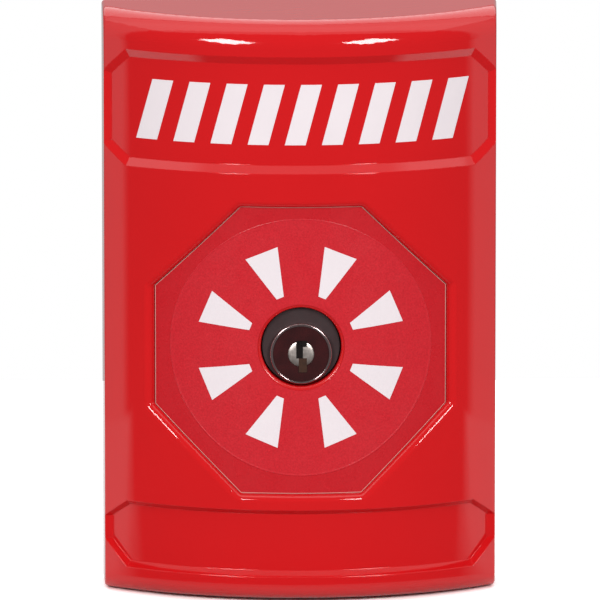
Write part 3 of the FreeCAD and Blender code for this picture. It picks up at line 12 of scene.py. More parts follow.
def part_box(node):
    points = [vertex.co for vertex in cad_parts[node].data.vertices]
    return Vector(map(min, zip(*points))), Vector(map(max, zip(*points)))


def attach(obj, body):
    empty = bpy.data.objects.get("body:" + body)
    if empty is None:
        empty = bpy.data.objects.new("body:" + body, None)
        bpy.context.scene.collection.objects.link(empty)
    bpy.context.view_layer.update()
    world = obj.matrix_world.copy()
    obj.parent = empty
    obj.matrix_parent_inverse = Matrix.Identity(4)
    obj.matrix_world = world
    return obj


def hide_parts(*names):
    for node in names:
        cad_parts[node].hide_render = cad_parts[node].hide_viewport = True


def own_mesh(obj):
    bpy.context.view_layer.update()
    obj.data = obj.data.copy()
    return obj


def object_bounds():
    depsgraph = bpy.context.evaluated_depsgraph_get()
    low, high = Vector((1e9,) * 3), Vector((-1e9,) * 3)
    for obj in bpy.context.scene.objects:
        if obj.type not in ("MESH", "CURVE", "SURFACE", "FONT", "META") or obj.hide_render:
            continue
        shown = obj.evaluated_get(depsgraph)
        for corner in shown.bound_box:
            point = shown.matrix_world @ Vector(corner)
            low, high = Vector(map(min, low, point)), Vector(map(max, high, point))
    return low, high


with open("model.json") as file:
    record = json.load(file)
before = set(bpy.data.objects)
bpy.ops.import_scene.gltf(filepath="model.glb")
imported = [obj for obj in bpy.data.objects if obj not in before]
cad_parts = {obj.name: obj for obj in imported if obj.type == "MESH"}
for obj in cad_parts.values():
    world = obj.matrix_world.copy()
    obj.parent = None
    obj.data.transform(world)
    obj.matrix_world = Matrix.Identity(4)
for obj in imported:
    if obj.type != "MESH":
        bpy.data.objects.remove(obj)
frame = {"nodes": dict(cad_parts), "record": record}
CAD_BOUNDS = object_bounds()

MM = 0.001
LOG = logging.getLogger("push_button")
Size = tuple[float, float, float]


# Tools for materials

class Pattern(Enum):
    """Kinds of procedural relief or mottling."""

    CLOUDS = "ShaderNodeTexNoise"
    CELLS = "ShaderNodeTexVoronoi"


def linear(colour: str) -> tuple[float, float, float, float]:
    """Turn an sRGB hex colour into Blender's linear RGBA.

    Args:
        colour: Six hex digits.

    Returns:
        Linear red, green, blue and an alpha of one.
    """
    srgb = np.array([int(colour[i:i + 2], 16) for i in (0, 2, 4)]) / 255
    rgb = np.where(srgb <= 0.04045, srgb / 12.92, ((srgb + 0.055) / 1.055) ** 2.4)
    return (*rgb.tolist(), 1.0)


def add_node(tree: bpy.types.NodeTree, kind: str, settings: dict | None = None,
             links: dict | None = None) -> bpy.types.Node:
    """Add a shader node, set its values and link its inputs.

    Args:
        tree: Node tree that gets the node.
        kind: Blender's name for the kind of node.
        settings: Attributes by name, and input values by the socket's name or number.
        links: The socket that feeds each input, by the input's name or number.

    Returns:
        The new node.
    """
    node = tree.nodes.new(kind)
    for key, value in (settings or {}).items():
        if isinstance(key, str) and hasattr(node, key):
            setattr(node, key, value)
        else:
            node.inputs[key].default_value = value
    for key, socket in (links or {}).items():
        tree.links.new(socket, node.inputs[key])
    return node


@dataclass(frozen=True)
class Relief:
    """One layer of surface texture, given by real sizes."""

    size_mm: float
    height_mm: float
    stretch: Size = (1.0, 1.0, 1.0)
    pattern: Pattern = Pattern.CLOUDS
    detail: float = 2.0

    def value(self, tree: bpy.types.NodeTree, coords: bpy.types.NodeSocket) -> bpy.types.NodeSocket:
        """Build the layer's pattern.

        Args:
            tree: Node tree of the material.
            coords: Object coordinates in metres.

        Returns:
            Socket that gives the pattern, from about 0 to 1.
        """
        mapped = add_node(tree, "ShaderNodeMapping", {"Scale": self.stretch}, {"Vector": coords})
        settings = {"Scale": 1 / (self.size_mm * MM)}
        if self.pattern is Pattern.CLOUDS:
            settings["Detail"] = self.detail
        node = add_node(tree, self.pattern.value, settings, {"Vector": mapped.outputs["Vector"]})
        return node.outputs[0]


@dataclass(frozen=True)
class Finish:
    """A surface finish: colour, gloss and fine relief.

    The colour drifts between two tones over mottle_mm, the roughness between two values
    over wear_mm, and the reliefs stack up as bumps. Sharp edges shade as if rounded by edge_mm.
    """

    name: str
    tones: tuple[str, str]
    roughness: tuple[float, float]
    mottle_mm: float = 12.0
    wear_mm: float = 6.0
    metallic: float = 0.0
    ior: float = 1.5
    reliefs: tuple[Relief, ...] = ()
    streak: Size = (1.0, 1.0, 1.0)
    edge_mm: float = 0.0
    edge_samples: int = 6

    def build(self) -> bpy.types.Material:
        """Make the material.

        Returns:
            The material, with all its nodes linked.
        """
        material = bpy.data.materials.new(self.name)
        material.use_nodes = True
        tree = material.node_tree
        tree.nodes.clear()
        coords = add_node(tree, "ShaderNodeTexCoord").outputs["Object"]
        mottle = Relief(self.mottle_mm, 0.0, self.streak, detail=3.0).value(tree, coords)
        first, second = self.tones
        blend = add_node(tree, "ShaderNodeMix", {"data_type": "RGBA", 6: linear(first), 7: linear(second)},
                         {0: mottle})
        wear = Relief(self.wear_mm, 0.0, self.streak, detail=4.0).value(tree, coords)
        # Noise keeps mostly between 0.3 and 0.7, so that span is stretched over both roughnesses.
        smooth, rough = self.roughness
        gloss = add_node(tree, "ShaderNodeMapRange",
                         {"From Min": 0.3, "From Max": 0.7, "To Min": smooth, "To Max": rough},
                         {"Value": wear})
        normal = {}
        if self.edge_mm:
            settings = {"samples": self.edge_samples, "Radius": self.edge_mm * MM}
            normal = {"Normal": add_node(tree, "ShaderNodeBevel", settings).outputs["Normal"]}
        for relief in self.reliefs:
            height = {"Height": relief.value(tree, coords)}
            bump = add_node(tree, "ShaderNodeBump", {"Strength": 1.0, "Distance": relief.height_mm * MM},
                            height | normal)
            normal = {"Normal": bump.outputs["Normal"]}
        surface_links = {"Base Color": blend.outputs[2], "Roughness": gloss.outputs["Result"]}
        shader = add_node(tree, "ShaderNodeBsdfPrincipled", {"Metallic": self.metallic, "IOR": self.ior},
                          surface_links | normal)
        add_node(tree, "ShaderNodeOutputMaterial", None, {"Surface": shader.outputs["BSDF"]})
        return material


# Finishes

# Glossy injection-moulded ABS: a clean mirror gloss over saturated red, with the
# faint waviness of a polished mould.
COVER_RED = Finish("abs_injection_moulded_gloss_red", ("cb1519", "c51216"), (0.04, 0.07), 18.0, 9.0, ior=1.54,
                   reliefs=(Relief(9.0, 0.003), Relief(0.6, 0.0002)), edge_mm=0.25)
# The plate is moulded from the same plastic, a little less polished.
PLATE_RED = Finish("abs_injection_moulded_red_plate", ("ca1317", "c41115"), (0.16, 0.22), 14.0, 6.0, ior=1.54,
                   reliefs=(Relief(5.0, 0.003), Relief(0.5, 0.0005)))
# Fine-grained polyester film: the grain breaks reflections up into a soft matte sheen. The real grain
# is about 0.1 mm, here and in the round field, and is drawn three times as coarse so that it shows.
FILM_RED = Finish("polyester_film_smooth_red", ("cb1a25", "ad0b17"), (0.25, 0.31), 0.36, 4.0,
                  reliefs=(Relief(0.3, 0.006), Relief(3.0, 0.004)))
# The embossed round field of the film: a rougher grain that looks paler and duller.
FIELD_RED = Finish("polyester_film_embossed_grain_red", ("da2430", "a60a18"), (0.27, 0.33), 0.36, 4.0,
                   reliefs=(Relief(0.34, 0.025, pattern=Pattern.CELLS), Relief(3.0, 0.004)))
# Painted highlight: the cut edge of the clear top film is given a pale colour, so that it shows as a thin
# bright line.
FILM_EDGE_PAINTED_HIGHLIGHT = Finish("polyester_film_cut_edge_painted_highlight", ("e3a9a0", "cf8f88"), (0.2, 0.3), 2.0, 1.0, ior=1.57)
# Screen-printed ink: opaque white with a dull surface.
WHITE_INK = Finish("screen_printed_ink_white", ("e6dcdf", "dfd5d9"), (0.45, 0.55), 6.0, 3.0,
                   reliefs=(Relief(0.15, 0.002),))
# ABS from a spark-eroded mould: a fine satin grain over black, with a red tint painted in for the light
# reflected from the red plastic around it.
BLACK_ABS = Finish("abs_spark_eroded_black_painted_red_reflection", ("3a2426", "2c1b1d"), (0.42, 0.55), 0.8, 5.0, ior=1.54,
                   reliefs=(Relief(0.35, 0.012),))
# Moulded nylon of the contact blocks: dark grey, dry and slightly grainy.
GREY_PA = Finish("nylon_moulded_dark_grey", ("3c3d40", "333437"), (0.38, 0.5), 8.0, 4.0, ior=1.53,
                 reliefs=(Relief(0.3, 0.008),))
# Undyed nylon of the plungers: a warm off-white with a waxy sheen.
NATURAL_PA = Finish("nylon_moulded_natural", ("e6e0d2", "dcd5c5"), (0.32, 0.42), 5.0, 3.0, ior=1.53,
                    reliefs=(Relief(0.4, 0.004),))
# Chrome plating on die-cast zinc: almost a mirror, with fine wear. The pink tint of its colour is a painted
# reflection of the red plastic around it.
CHROME_PAINTED_RED_REFLECTION = Finish("zinc_die_cast_chrome_painted_red_reflection", ("cdb4b4", "b39a9b"), (0.1, 0.2), 1.2, 0.9, metallic=1.0,
                reliefs=(Relief(0.8, 0.0008),))
# Dark lacquer over zinc: glossy brown-black and uneven, with the waves of the casting under it.
DARK_FACE = Finish("zinc_lock_face_dark_lacquer", ("421416", "1f0b0d"), (0.1, 0.18), 3.5, 1.2, ior=1.55,
                   reliefs=(Relief(2.2, 0.02), Relief(0.3, 0.001)))
# Nickel plating on brass: a soft warm sheen, wavy and scratched by the key.
NICKEL = Finish("brass_nickel_plated", ("e6dcd6", "c9bcb4"), (0.32, 0.46), 1.4, 0.8, metallic=1.0,
                reliefs=(Relief(0.9, 0.02), Relief(0.25, 0.002)))
# Painted shade: a near-black patch that stands for the dark depth of the keyway.
KEYWAY_PAINTED_SHADE_BLACK = Finish("keyway_painted_shade_black", ("140b08", "0a0605"), (0.7, 0.8), 0.8, 0.5, ior=1.3,
                     reliefs=(Relief(0.3, 0.004),))
# Painted shade: a dull dark brown patch that stands for the lower slot of the keyway in shadow.
KEYWAY_PAINTED_SHADE_BROWN = Finish("keyway_painted_shade_brown", ("43240f", "26130a"), (0.6, 0.7), 0.7, 0.5, ior=1.4,
                      reliefs=(Relief(0.3, 0.004),))
# Zinc-plated sheet: grey metal with long soft streaks where it was rolled.
ZINC_SHEET = Finish("steel_sheet_zinc_plated", ("b9bcc0", "a3a7ac"), (0.26, 0.42), 7.0, 3.0, metallic=1.0,
                    reliefs=(Relief(0.5, 0.002, (0.1, 1.0, 1.0)),), streak=(0.15, 1.0, 1.0))
# Zinc-plated stampings: cool grey metal, finely mottled.
ZINC_STEEL = Finish("steel_stamped_zinc_plated", ("b4b7ba", "9c9fa4"), (0.24, 0.4), 4.0, 2.0, metallic=1.0,
                    reliefs=(Relief(0.4, 0.002),))
# Drawn spring steel: a darker grey metal with the slight polish of the drawing die.
SPRING_WIRE = Finish("steel_spring_wire_drawn", ("8f9194", "7b7d80"), (0.22, 0.36), 2.0, 0.8, metallic=1.0,
                     reliefs=(Relief(0.2, 0.001, (1.0, 3.0, 1.0)),))
# Zinc-plated screws: a tighter and brighter shine than the sheet's.
SCREW_STEEL = Finish("steel_screw_zinc_plated", ("babdc1", "a7aab0"), (0.2, 0.34), 2.0, 1.0, metallic=1.0,
                     reliefs=(Relief(0.25, 0.001),))
# Stamped brass strip: warm yellow metal with fine rolling lines.
BRASS = Finish("brass_strip_stamped", ("c9a565", "b88f4d"), (0.22, 0.36), 3.0, 1.5, metallic=1.0,
               reliefs=(Relief(0.3, 0.001, (0.2, 1.0, 1.0)),))


@dataclass
class Wardrobe:
    """The finish of every material slot of the record."""

    finishes: dict[str, Finish] = field(default_factory=lambda: {
        "cover_plastic": COVER_RED, "plate_plastic": PLATE_RED, "label_film": FILM_RED,
        "chassis_plastic": BLACK_ABS, "block_plastic": GREY_PA, "plunger_plastic": NATURAL_PA,
        "lock_chrome": CHROME_PAINTED_RED_REFLECTION, "lock_face": DARK_FACE, "lock_core": NICKEL,
        "plated_sheet": ZINC_SHEET, "plated_steel": ZINC_STEEL, "spring_steel": SPRING_WIRE,
        "screw_steel": SCREW_STEEL, "contact_brass": BRASS})
    made: dict[str, bpy.types.Material] = field(default_factory=dict)

    def of(self, finish: Finish) -> bpy.types.Material:
        """Give a finish's material, built once.

        Args:
            finish: The finish.

        Returns:
            Its material.
        """
        if finish.name not in self.made:
            self.made[finish.name] = finish.build()
        return self.made[finish.name]

    def dress_nodes(self) -> int:
        """Put each carried-over CAD node's finish on it.

        Returns:
            The number of nodes dressed.
        """
        subparts = frame["record"]["subparts"]
        for part in subparts:
            node = frame["nodes"][part["node"]]
            material = self.of(self.finishes[part["material_slot"]])
            for slot in node.material_slots:
                slot.material = material
            if not node.material_slots:
                node.data.materials.append(material)
        return len(subparts)


# Tools for pieces

def place(name: str, data: bpy.types.ID) -> bpy.types.Object:
    """Make an object from a mesh, lamp or camera and put it into the scene.

    Args:
        name: Name of the object.
        data: What the object shows.

    Returns:
        The new object.
    """
    piece = bpy.data.objects.new(name, data)
    bpy.context.scene.collection.objects.link(piece)
    return piece


def surface(name: str, points: np.ndarray, faces: list[list[int]], material: bpy.types.Material,
            body: str, smooth: bool = True) -> bpy.types.Object:
    """Make a piece from arrays and let it ride on a body.

    Args:
        name: Name of the piece.
        points: Vertices in millimetres, with x, y and z along the last axis.
        faces: Vertex numbers, one list for each face.
        material: Finish of the piece.
        body: Body that carries the piece.
        smooth: Whether the faces are shaded smooth.

    Returns:
        The piece.
    """
    mesh = bpy.data.meshes.new(name)
    mesh.from_pydata((points.reshape(-1, 3) * MM).tolist(), [], faces)
    mesh.materials.append(material)
    mesh.polygons.foreach_set("use_smooth", np.full(len(mesh.polygons), smooth))
    mesh.update()
    piece = place(name, mesh)
    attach(piece, body)
    return piece


def grid_faces(rows: int, columns: int, wrap_rows: bool = False, wrap_columns: bool = False) -> np.ndarray:
    """Number the quads of a grid of points.

    Args:
        rows: Points along the first direction.
        columns: Points along the second direction.
        wrap_rows: Whether the last row joins the first.
        wrap_columns: Whether the last column joins the first.

    Returns:
        Four vertex numbers for each quad.
    """
    i = np.arange(rows if wrap_rows else rows - 1)[:, None]
    j = np.arange(columns if wrap_columns else columns - 1)[None, :]
    i1, j1 = (i + 1) % rows, (j + 1) % columns
    corners = np.broadcast_arrays(i * columns + j, i1 * columns + j, i1 * columns + j1, i * columns + j1)
    return np.stack([c.ravel() for c in corners], axis=1)


def tube_faces(rows: int, ring: int) -> list[list[int]]:
    """Number the faces of a closed tube.

    Args:
        rows: Rings along the tube.
        ring: Points in each ring.

    Returns:
        The quads of the wall, then one face for each end.
    """
    wall = grid_faces(rows, ring, wrap_columns=True)[:, ::-1]
    ends = [np.arange(ring)[::-1], (rows - 1) * ring + np.arange(ring)]
    return wall.tolist() + [end.tolist() for end in ends]


# Springs

@dataclass(frozen=True)
class CoilSpring:
    """A helical compression spring.

    With t from 0 to 1 along the wire, the centre line is (x + R cos 2pi n t, y(t), z + R sin 2pi n t).
    y(t) climbs by end_rise wire radii over the first and the last end_share of the wire, and evenly in
    between, which gives closed end turns. The wire is a circle of points carried along that line.
    """

    mean_radius_mm: float
    wire_radius_mm: float
    turns: float
    keep: float
    end_share: float = 0.11
    end_rise: float = 1.8
    steps_per_turn: int = 28
    ring: int = 10

    def build(self, node: str, wardrobe: Wardrobe) -> bpy.types.Object:
        """Build the wire in the place of a CAD spring.

        Args:
            node: The CAD spring that the wire replaces.
            wardrobe: Source of the finish.

        Returns:
            The spring's piece.
        """
        low, high = (np.array(corner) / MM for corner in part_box(node))
        t = np.linspace(0, 1, int(self.turns * self.steps_per_turn) + 1)
        angle = 2 * math.pi * self.turns * t
        wire = self.wire_radius_mm
        end = self.end_rise * wire
        first = np.clip(t / self.end_share, 0, 1)
        middle = np.clip((t - self.end_share) / (1 - 2 * self.end_share), 0, 1)
        last = np.clip((t - 1 + self.end_share) / self.end_share, 0, 1)
        y = low[1] + wire + end * (first + last) + (high[1] - low[1] - 2 * wire - 2 * end) * middle
        x, z = (low[0] + high[0]) / 2, (low[2] + high[2]) / 2
        radial = np.stack([np.cos(angle), np.zeros_like(t), np.sin(angle)], axis=1)
        line = radial * self.mean_radius_mm + np.stack([np.full_like(t, x), y, np.full_like(t, z)], axis=1)
        ring = np.linspace(0, 2 * math.pi, self.ring, endpoint=False)[None, :, None]
        across = np.array([0.0, 1.0, 0.0])
        points = line[:, None] + wire * (np.cos(ring) * radial[:, None] + np.sin(ring) * across)
        piece = surface(node + "_wire", points, tube_faces(len(t), self.ring), wardrobe.of(SPRING_WIRE),
                        "housing")
        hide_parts(node)
        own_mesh(piece)
        return piece


@dataclass
class Springs:
    """All the springs.

    The latch leaf's middle line is x = root + bow s(t), where s is zero over the clamped share and then
    rises as 3 t^2 - 2 t^3, so the leaf leans over smoothly against the latch bar.
    """

    return_coil: CoilSpring = CoilSpring(3.6, 0.35, 5.0, 0.524)
    contact_coil: CoilSpring = CoilSpring(1.5, 0.2, 6.0, 0.608)
    leaf_thick_mm: float = 0.4
    leaf_clamped: float = 0.25
    leaf_steps: int = 32
    bar_travel_mm: float = 1.6

    def build(self, wardrobe: Wardrobe) -> list[bpy.types.Object]:
        """Build the four return springs, the two contact springs and the leaf.

        Args:
            wardrobe: Source of the finish.

        Returns:
            The springs.
        """
        pieces = [self.return_coil.build("return_spring_%d" % number, wardrobe) for number in range(1, 5)]
        pieces += [self.contact_coil.build("contact_spring_" + side, wardrobe) for side in ("left", "right")]
        return pieces + [self.leaf(wardrobe)]

    def leaf(self, wardrobe: Wardrobe) -> bpy.types.Object:
        """Build the leaf spring that presses the latch bar back.

        Args:
            wardrobe: Source of the finish.

        Returns:
            The leaf's piece.
        """
        low, high = (np.array(corner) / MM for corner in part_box("latch_spring"))
        width = high[0] - low[0]
        t = np.linspace(0, 1, self.leaf_steps + 1)
        rise = np.clip((t - self.leaf_clamped) / (1 - self.leaf_clamped), 0, 1)
        lean = (width - self.leaf_thick_mm) * (3 * rise ** 2 - 2 * rise ** 3)
        x = low[0] + lean[:, None] + self.leaf_thick_mm * np.array([0.0, 1.0, 1.0, 0.0])
        y = np.broadcast_to(np.array([low[1], low[1], high[1], high[1]]), x.shape)
        z = np.broadcast_to((low[2] + (high[2] - low[2]) * t)[:, None], x.shape)
        piece = surface("latch_spring_leaf", np.stack([x, y, z], axis=-1), tube_faces(len(t), 4),
                        wardrobe.of(SPRING_WIRE), "housing", smooth=False)
        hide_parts("latch_spring")
        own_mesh(piece)
        return piece


# Pieces on the bowed front

@dataclass(frozen=True)
class Bow:
    """The bowed front: every face of it is a cylinder about one upright axis.

    A point at (x, z) on the face of radius r lies at y = axis - sqrt(r^2 - x^2).
    """

    front_mm: float = 63.6
    band_floor_mm: float = 62.4
    film_mm: float = 61.9

    def axis_mm(self) -> float:
        """Give the axis's distance behind the wall."""
        return self.front_mm + CAD_BOUNDS[0][1] / MM

    def on(self, x: np.ndarray, z: np.ndarray, radius: np.ndarray | float) -> np.ndarray:
        """Set points on a bowed face.

        Args:
            x: Distances to the right in millimetres.
            z: Heights in millimetres.
            radius: Radius of the face about the axis.

        Returns:
            The points, with x, y and z along the last axis.
        """
        x, z, radius = np.broadcast_arrays(x, z, radius)
        return np.stack([x, self.axis_mm() - np.sqrt(radius ** 2 - x ** 2), z], axis=-1)


BOW = Bow()


@dataclass
class Marks:
    """Flat marks: four-sided patches on a bowed face, each with a skirt that sinks into it.

    With v from 0 to 1 along a mark and u from -1 to 1 across it, a point is start + v (end - start) plus
    u times half of the width at v in the direction across. The skirt's rows lie a small share outside
    that and skirt_mm under the face.
    """

    name: str
    body: str
    radius_mm: float
    start: np.ndarray
    end: np.ndarray
    widths: np.ndarray
    across: np.ndarray
    lift_mm: float = 0.05
    finish: Finish = WHITE_INK
    slot: str = "label_film"
    steps: int = 8
    skirt_mm: float = 0.05
    skirt_across: float = 0.02
    skirt_along: float = 0.004

    def build(self, wardrobe: Wardrobe) -> bpy.types.Object:
        """Build all marks as one piece.

        Args:
            wardrobe: Source of the finish.

        Returns:
            The piece.
        """
        side, foot = 1 + self.skirt_across, self.skirt_along
        u = np.array([-side, -1.0, -0.5, 0.0, 0.5, 1.0, side])
        v = np.concatenate([[-foot], np.linspace(0, 1, self.steps + 1), [1 + foot]])
        inside = np.zeros((len(v), len(u)))
        inside[1:-1, 1:-1] = 1.0
        radius = self.radius_mm - self.skirt_mm + (self.lift_mm + self.skirt_mm) * inside
        u, v = u[:, None], v[:, None, None]
        width = self.widths[:, 0, None, None, None] * (1 - v) + self.widths[:, 1, None, None, None] * v
        flat = self.start[:, None, None, :] * (1 - v) + self.end[:, None, None, :] * v
        flat = flat + u * width / 2 * self.across[:, None, None, :]
        points = BOW.on(flat[..., 0], flat[..., 1], radius)
        faces = grid_faces(*inside.shape)[None] + inside.size * np.arange(len(self.start))[:, None, None]
        return surface(self.name, points, faces.reshape(-1, 4).tolist(), wardrobe.of(self.finish), self.body,
                       smooth=False)


@dataclass
class Printing:
    """The plain marks that stand in the label band and round the lock."""

    bars: int = 9
    bar_centre_mm: tuple[float, float] = (0.45, 41.85)
    bars_span_mm: float = 69.5
    bar_height_mm: float = 12.7
    bar_lean_mm: float = 3.4
    bar_width_mm: float = 4.3
    ring_height_mm: float = -7.5
    wedges: int = 8
    wedge_radii_mm: tuple[float, float] = (21.6, 11.4)
    wedge_widths_mm: tuple[float, float] = (7.2, 1.6)
    wedge_lift_mm: float = 0.08

    def build(self, wardrobe: Wardrobe) -> list[bpy.types.Object]:
        """Build the slanted bars and the wedges.

        Args:
            wardrobe: Source of the finish.

        Returns:
            The two pieces.
        """
        reach = (self.bars_span_mm - self.bar_width_mm - self.bar_lean_mm) / 2
        x = self.bar_centre_mm[0] + np.linspace(-reach, reach, self.bars)
        half = np.array([self.bar_lean_mm, self.bar_height_mm]) / 2
        middle = np.stack([x, np.full_like(x, self.bar_centre_mm[1])], axis=1)
        widths = np.full((self.bars, 2), self.bar_width_mm)
        across = np.broadcast_to(np.array([1.0, 0.0]), (self.bars, 2))
        bars = Marks("band_bars", "housing", BOW.band_floor_mm, middle + half, middle - half, widths, across)
        angle = math.pi * (2 * np.arange(self.wedges) + 1) / self.wedges
        out = np.stack([np.cos(angle), np.sin(angle)], axis=1)
        centre = np.array([0.0, self.ring_height_mm])
        outer, inner = self.wedge_radii_mm
        widths = np.broadcast_to(np.array(self.wedge_widths_mm), (self.wedges, 2))
        across = np.stack([out[:, 1], -out[:, 0]], axis=1)
        wedges = Marks("ring_wedges", "push_panel", BOW.film_mm, centre + outer * out, centre + inner * out,
                       widths, across, self.wedge_lift_mm)
        return [bars.build(wardrobe), wedges.build(wardrobe)]


@dataclass
class FilmField:
    """The film's round embossed field with a raised line at its rim, and the film's octagonal edge.

    The field is a profile of (radius, height above the film) carried round the field's centre and set on
    the film's cylinder. rim_line gives the line's profile from the rim's radius. The edge is two strips
    carried round the octagon, at the given distances from its centre to the flats, with sunk sides: the
    inner one in the film's red, the outer one pale, a painted highlight of the film's cut edge.
    """

    centre_mm: float = -7.5
    hole_mm: float = 9.2
    rim_mm: float = 27.4
    rim_width_mm: float = 0.45
    rim_line: tuple[tuple[float, float], ...] = (
        (-0.36, 0.025), (-0.27, 0.06), (-0.12, 0.06), (0.0, 0.01), (0.0, -0.04))
    lift_mm: float = 0.025
    lift_slope: float = 0.1
    rings: int = 30
    around: int = 192
    octagon_centre_mm: float = -8.15
    apothems_mm: Size = (30.0, 30.32, 30.44)
    border_lift_mm: float = 0.015
    edge_lift_mm: float = 0.02
    edge_skirt_mm: float = 0.4
    side_steps: int = 12

    def build(self, wardrobe: Wardrobe) -> list[bpy.types.Object]:
        """Build the two strips of the edge, and the field as a ring-shaped sheet.

        Args:
            wardrobe: Source of the finish.

        Returns:
            The three pieces.
        """
        angle = np.linspace(0, 2 * math.pi, self.around, endpoint=False)[None, :]
        sheet = np.linspace(self.hole_mm, self.rim_mm - self.rim_width_mm, self.rings)
        lift = np.clip((sheet - self.hole_mm) * self.lift_slope, 0, self.lift_mm)
        rim = np.array(self.rim_line) + np.array([self.rim_mm, 0.0])
        profile = np.concatenate([np.stack([sheet, lift], axis=1), rim])
        radius, height = profile[:, 0, None], profile[:, 1, None]
        z = self.centre_mm + radius * np.sin(angle)
        points = BOW.on(radius * np.cos(angle), z, BOW.film_mm + height)
        faces = grid_faces(len(profile), self.around, wrap_columns=True).tolist()
        inner, middle, outer = self.apothems_mm
        # The outer strip is pale: a painted highlight of the film's cut edge.
        return [self.strip("film_border", wardrobe.of(FILM_RED), inner, middle, self.border_lift_mm),
                self.strip("film_edge_painted_highlight", wardrobe.of(FILM_EDGE_PAINTED_HIGHLIGHT), middle, outer, self.edge_lift_mm),
                surface("film_field", points, faces, wardrobe.of(FIELD_RED), "push_panel")]

    def strip(self, name: str, material: bpy.types.Material, inner: float, outer: float,
              lift: float) -> bpy.types.Object:
        """Build one strip of the octagonal edge.

        Args:
            name: Name of the piece.
            material: Finish of the strip.
            inner: Inner distance from the centre to the flats in millimetres.
            outer: Outer distance from the centre to the flats in millimetres.
            lift: Height above the film in millimetres.

        Returns:
            The piece.
        """
        corner = math.pi / 8 + math.pi / 4 * np.arange(9)
        corners = np.stack([np.cos(corner), np.sin(corner)], axis=1) / math.cos(math.pi / 8)
        along = np.arange(0, 8, 1 / self.side_steps)
        side = along.astype(int)
        path = corners[side] + (along - side)[:, None] * (corners[side + 1] - corners[side])
        apothem = np.array([inner, inner, outer, outer])[:, None]
        height = np.array([-self.edge_skirt_mm, lift, lift, -self.edge_skirt_mm])[:, None]
        z = self.octagon_centre_mm + apothem * path[:, 1]
        points = BOW.on(apothem * path[:, 0], z, BOW.film_mm + height)
        faces = grid_faces(len(apothem), len(along), wrap_columns=True).tolist()
        return surface(name, points, faces, material, "push_panel", smooth=False)


@dataclass
class LockHead:
    """The bright rim of the lock, with a painted red reflection in its tint, the domed face of its core, and
    the keyway as patches of painted shade.

    Rim and dome are profiles of (radius, depth) carried round the lock's axis, where the depth is the
    distance in front of the wall. The rim is a circle. The dome falls by dome_mm as the fourth power of
    the radius and ends in a short skirt. Each keyway patch gives its middle, width, top and foot.
    """

    height_mm: float = -9.05
    around: int = 96
    rim_mm: float = 6.17
    rim_round_mm: float = 0.31
    rim_depth_mm: float = 25.42
    rim_steps: int = 24
    core_mm: float = 2.72
    core_depth_mm: float = 25.28
    core_rings: int = 20
    core_skirt_mm: float = 0.2
    pole_share: float = 0.02
    dome_mm: float = 0.3
    keyway_upper_mm: tuple[tuple[float, ...], ...] = ((-0.3, 1.4, 2.75, -0.95), (0.12, 2.2, 2.75, 1.5))
    keyway_lower_mm: tuple[tuple[float, ...], ...] = ((0.38, 1.68, -0.9, -3.9),)
    keyway_lift_mm: float = 0.04

    def build(self, wardrobe: Wardrobe) -> list[bpy.types.Object]:
        """Build the rim, the core's dome and the keyway's patches of painted shade.

        Args:
            wardrobe: Source of the finishes.

        Returns:
            The four pieces.
        """
        turn = np.linspace(0, 2 * math.pi, self.rim_steps, endpoint=False)
        # The rim's pink chrome tint is a painted red reflection.
        ring = self.turned("lock_rim_ring", self.rim_mm + self.rim_round_mm * np.cos(turn),
                           self.rim_depth_mm - self.rim_round_mm * np.sin(turn), wardrobe.of(CHROME_PAINTED_RED_REFLECTION),
                           "housing", True)
        share = np.linspace(self.pole_share, 1, self.core_rings)
        radius = self.core_mm * np.append(share, 1.0)
        depth = self.core_depth_mm + np.append(self.dome_mm * (1 - share ** 4), -self.core_skirt_mm)
        dome = self.turned("lock_core_dome", radius, depth, wardrobe.of(NICKEL),
                           "key_core", False)
        # The keyway's two pieces are patches of painted shade.
        return [ring, dome, self.keyway("keyway_upper_painted_shade", self.keyway_upper_mm, KEYWAY_PAINTED_SHADE_BLACK, wardrobe),
                self.keyway("keyway_lower_painted_shade", self.keyway_lower_mm, KEYWAY_PAINTED_SHADE_BROWN, wardrobe)]

    def turned(self, name: str, radius: np.ndarray, depth: np.ndarray, material: bpy.types.Material,
               body: str, closed: bool) -> bpy.types.Object:
        """Carry a profile round the lock's axis.

        Args:
            name: Name of the piece.
            radius: The profile's radii in millimetres.
            depth: The profile's depths in millimetres.
            material: Finish of the piece.
            body: Body that carries the piece.
            closed: Whether the profile's last point joins its first. Else a small disc closes the pole.

        Returns:
            The piece.
        """
        angle = np.linspace(0, 2 * math.pi, self.around, endpoint=False)[None, :]
        x = radius[:, None] * np.cos(angle)
        z = self.height_mm + radius[:, None] * np.sin(angle)
        points = np.stack([x, np.broadcast_to(-depth[:, None], x.shape), z], axis=-1)
        faces = grid_faces(len(radius), self.around, wrap_rows=closed, wrap_columns=True).tolist()
        if not closed:
            faces.append(list(range(self.around)))
        return surface(name, points, faces, material, body)

    def keyway(self, name: str, patches: tuple[tuple[float, ...], ...], finish: Finish,
               wardrobe: Wardrobe) -> bpy.types.Object:
        """Build flat patches of painted shade where the keyway opens.

        Args:
            name: Name of the piece.
            patches: The middle, width, top and foot of each patch in millimetres from the lock's axis.
            finish: Finish of the patches.
            wardrobe: Source of the finish.

        Returns:
            The piece.
        """
        middle, width, top, foot = np.array(patches).T
        start = np.stack([middle, self.height_mm + top], axis=1)
        end = np.stack([middle, self.height_mm + foot], axis=1)
        across = np.broadcast_to(np.array([1.0, 0.0]), start.shape)
        front = BOW.axis_mm() + self.core_depth_mm + self.dome_mm
        return Marks(name, "key_core", front, start, end, np.stack([width, width], axis=1), across,
                     self.keyway_lift_mm, finish, "lock_core").build(wardrobe)


# Camera and light

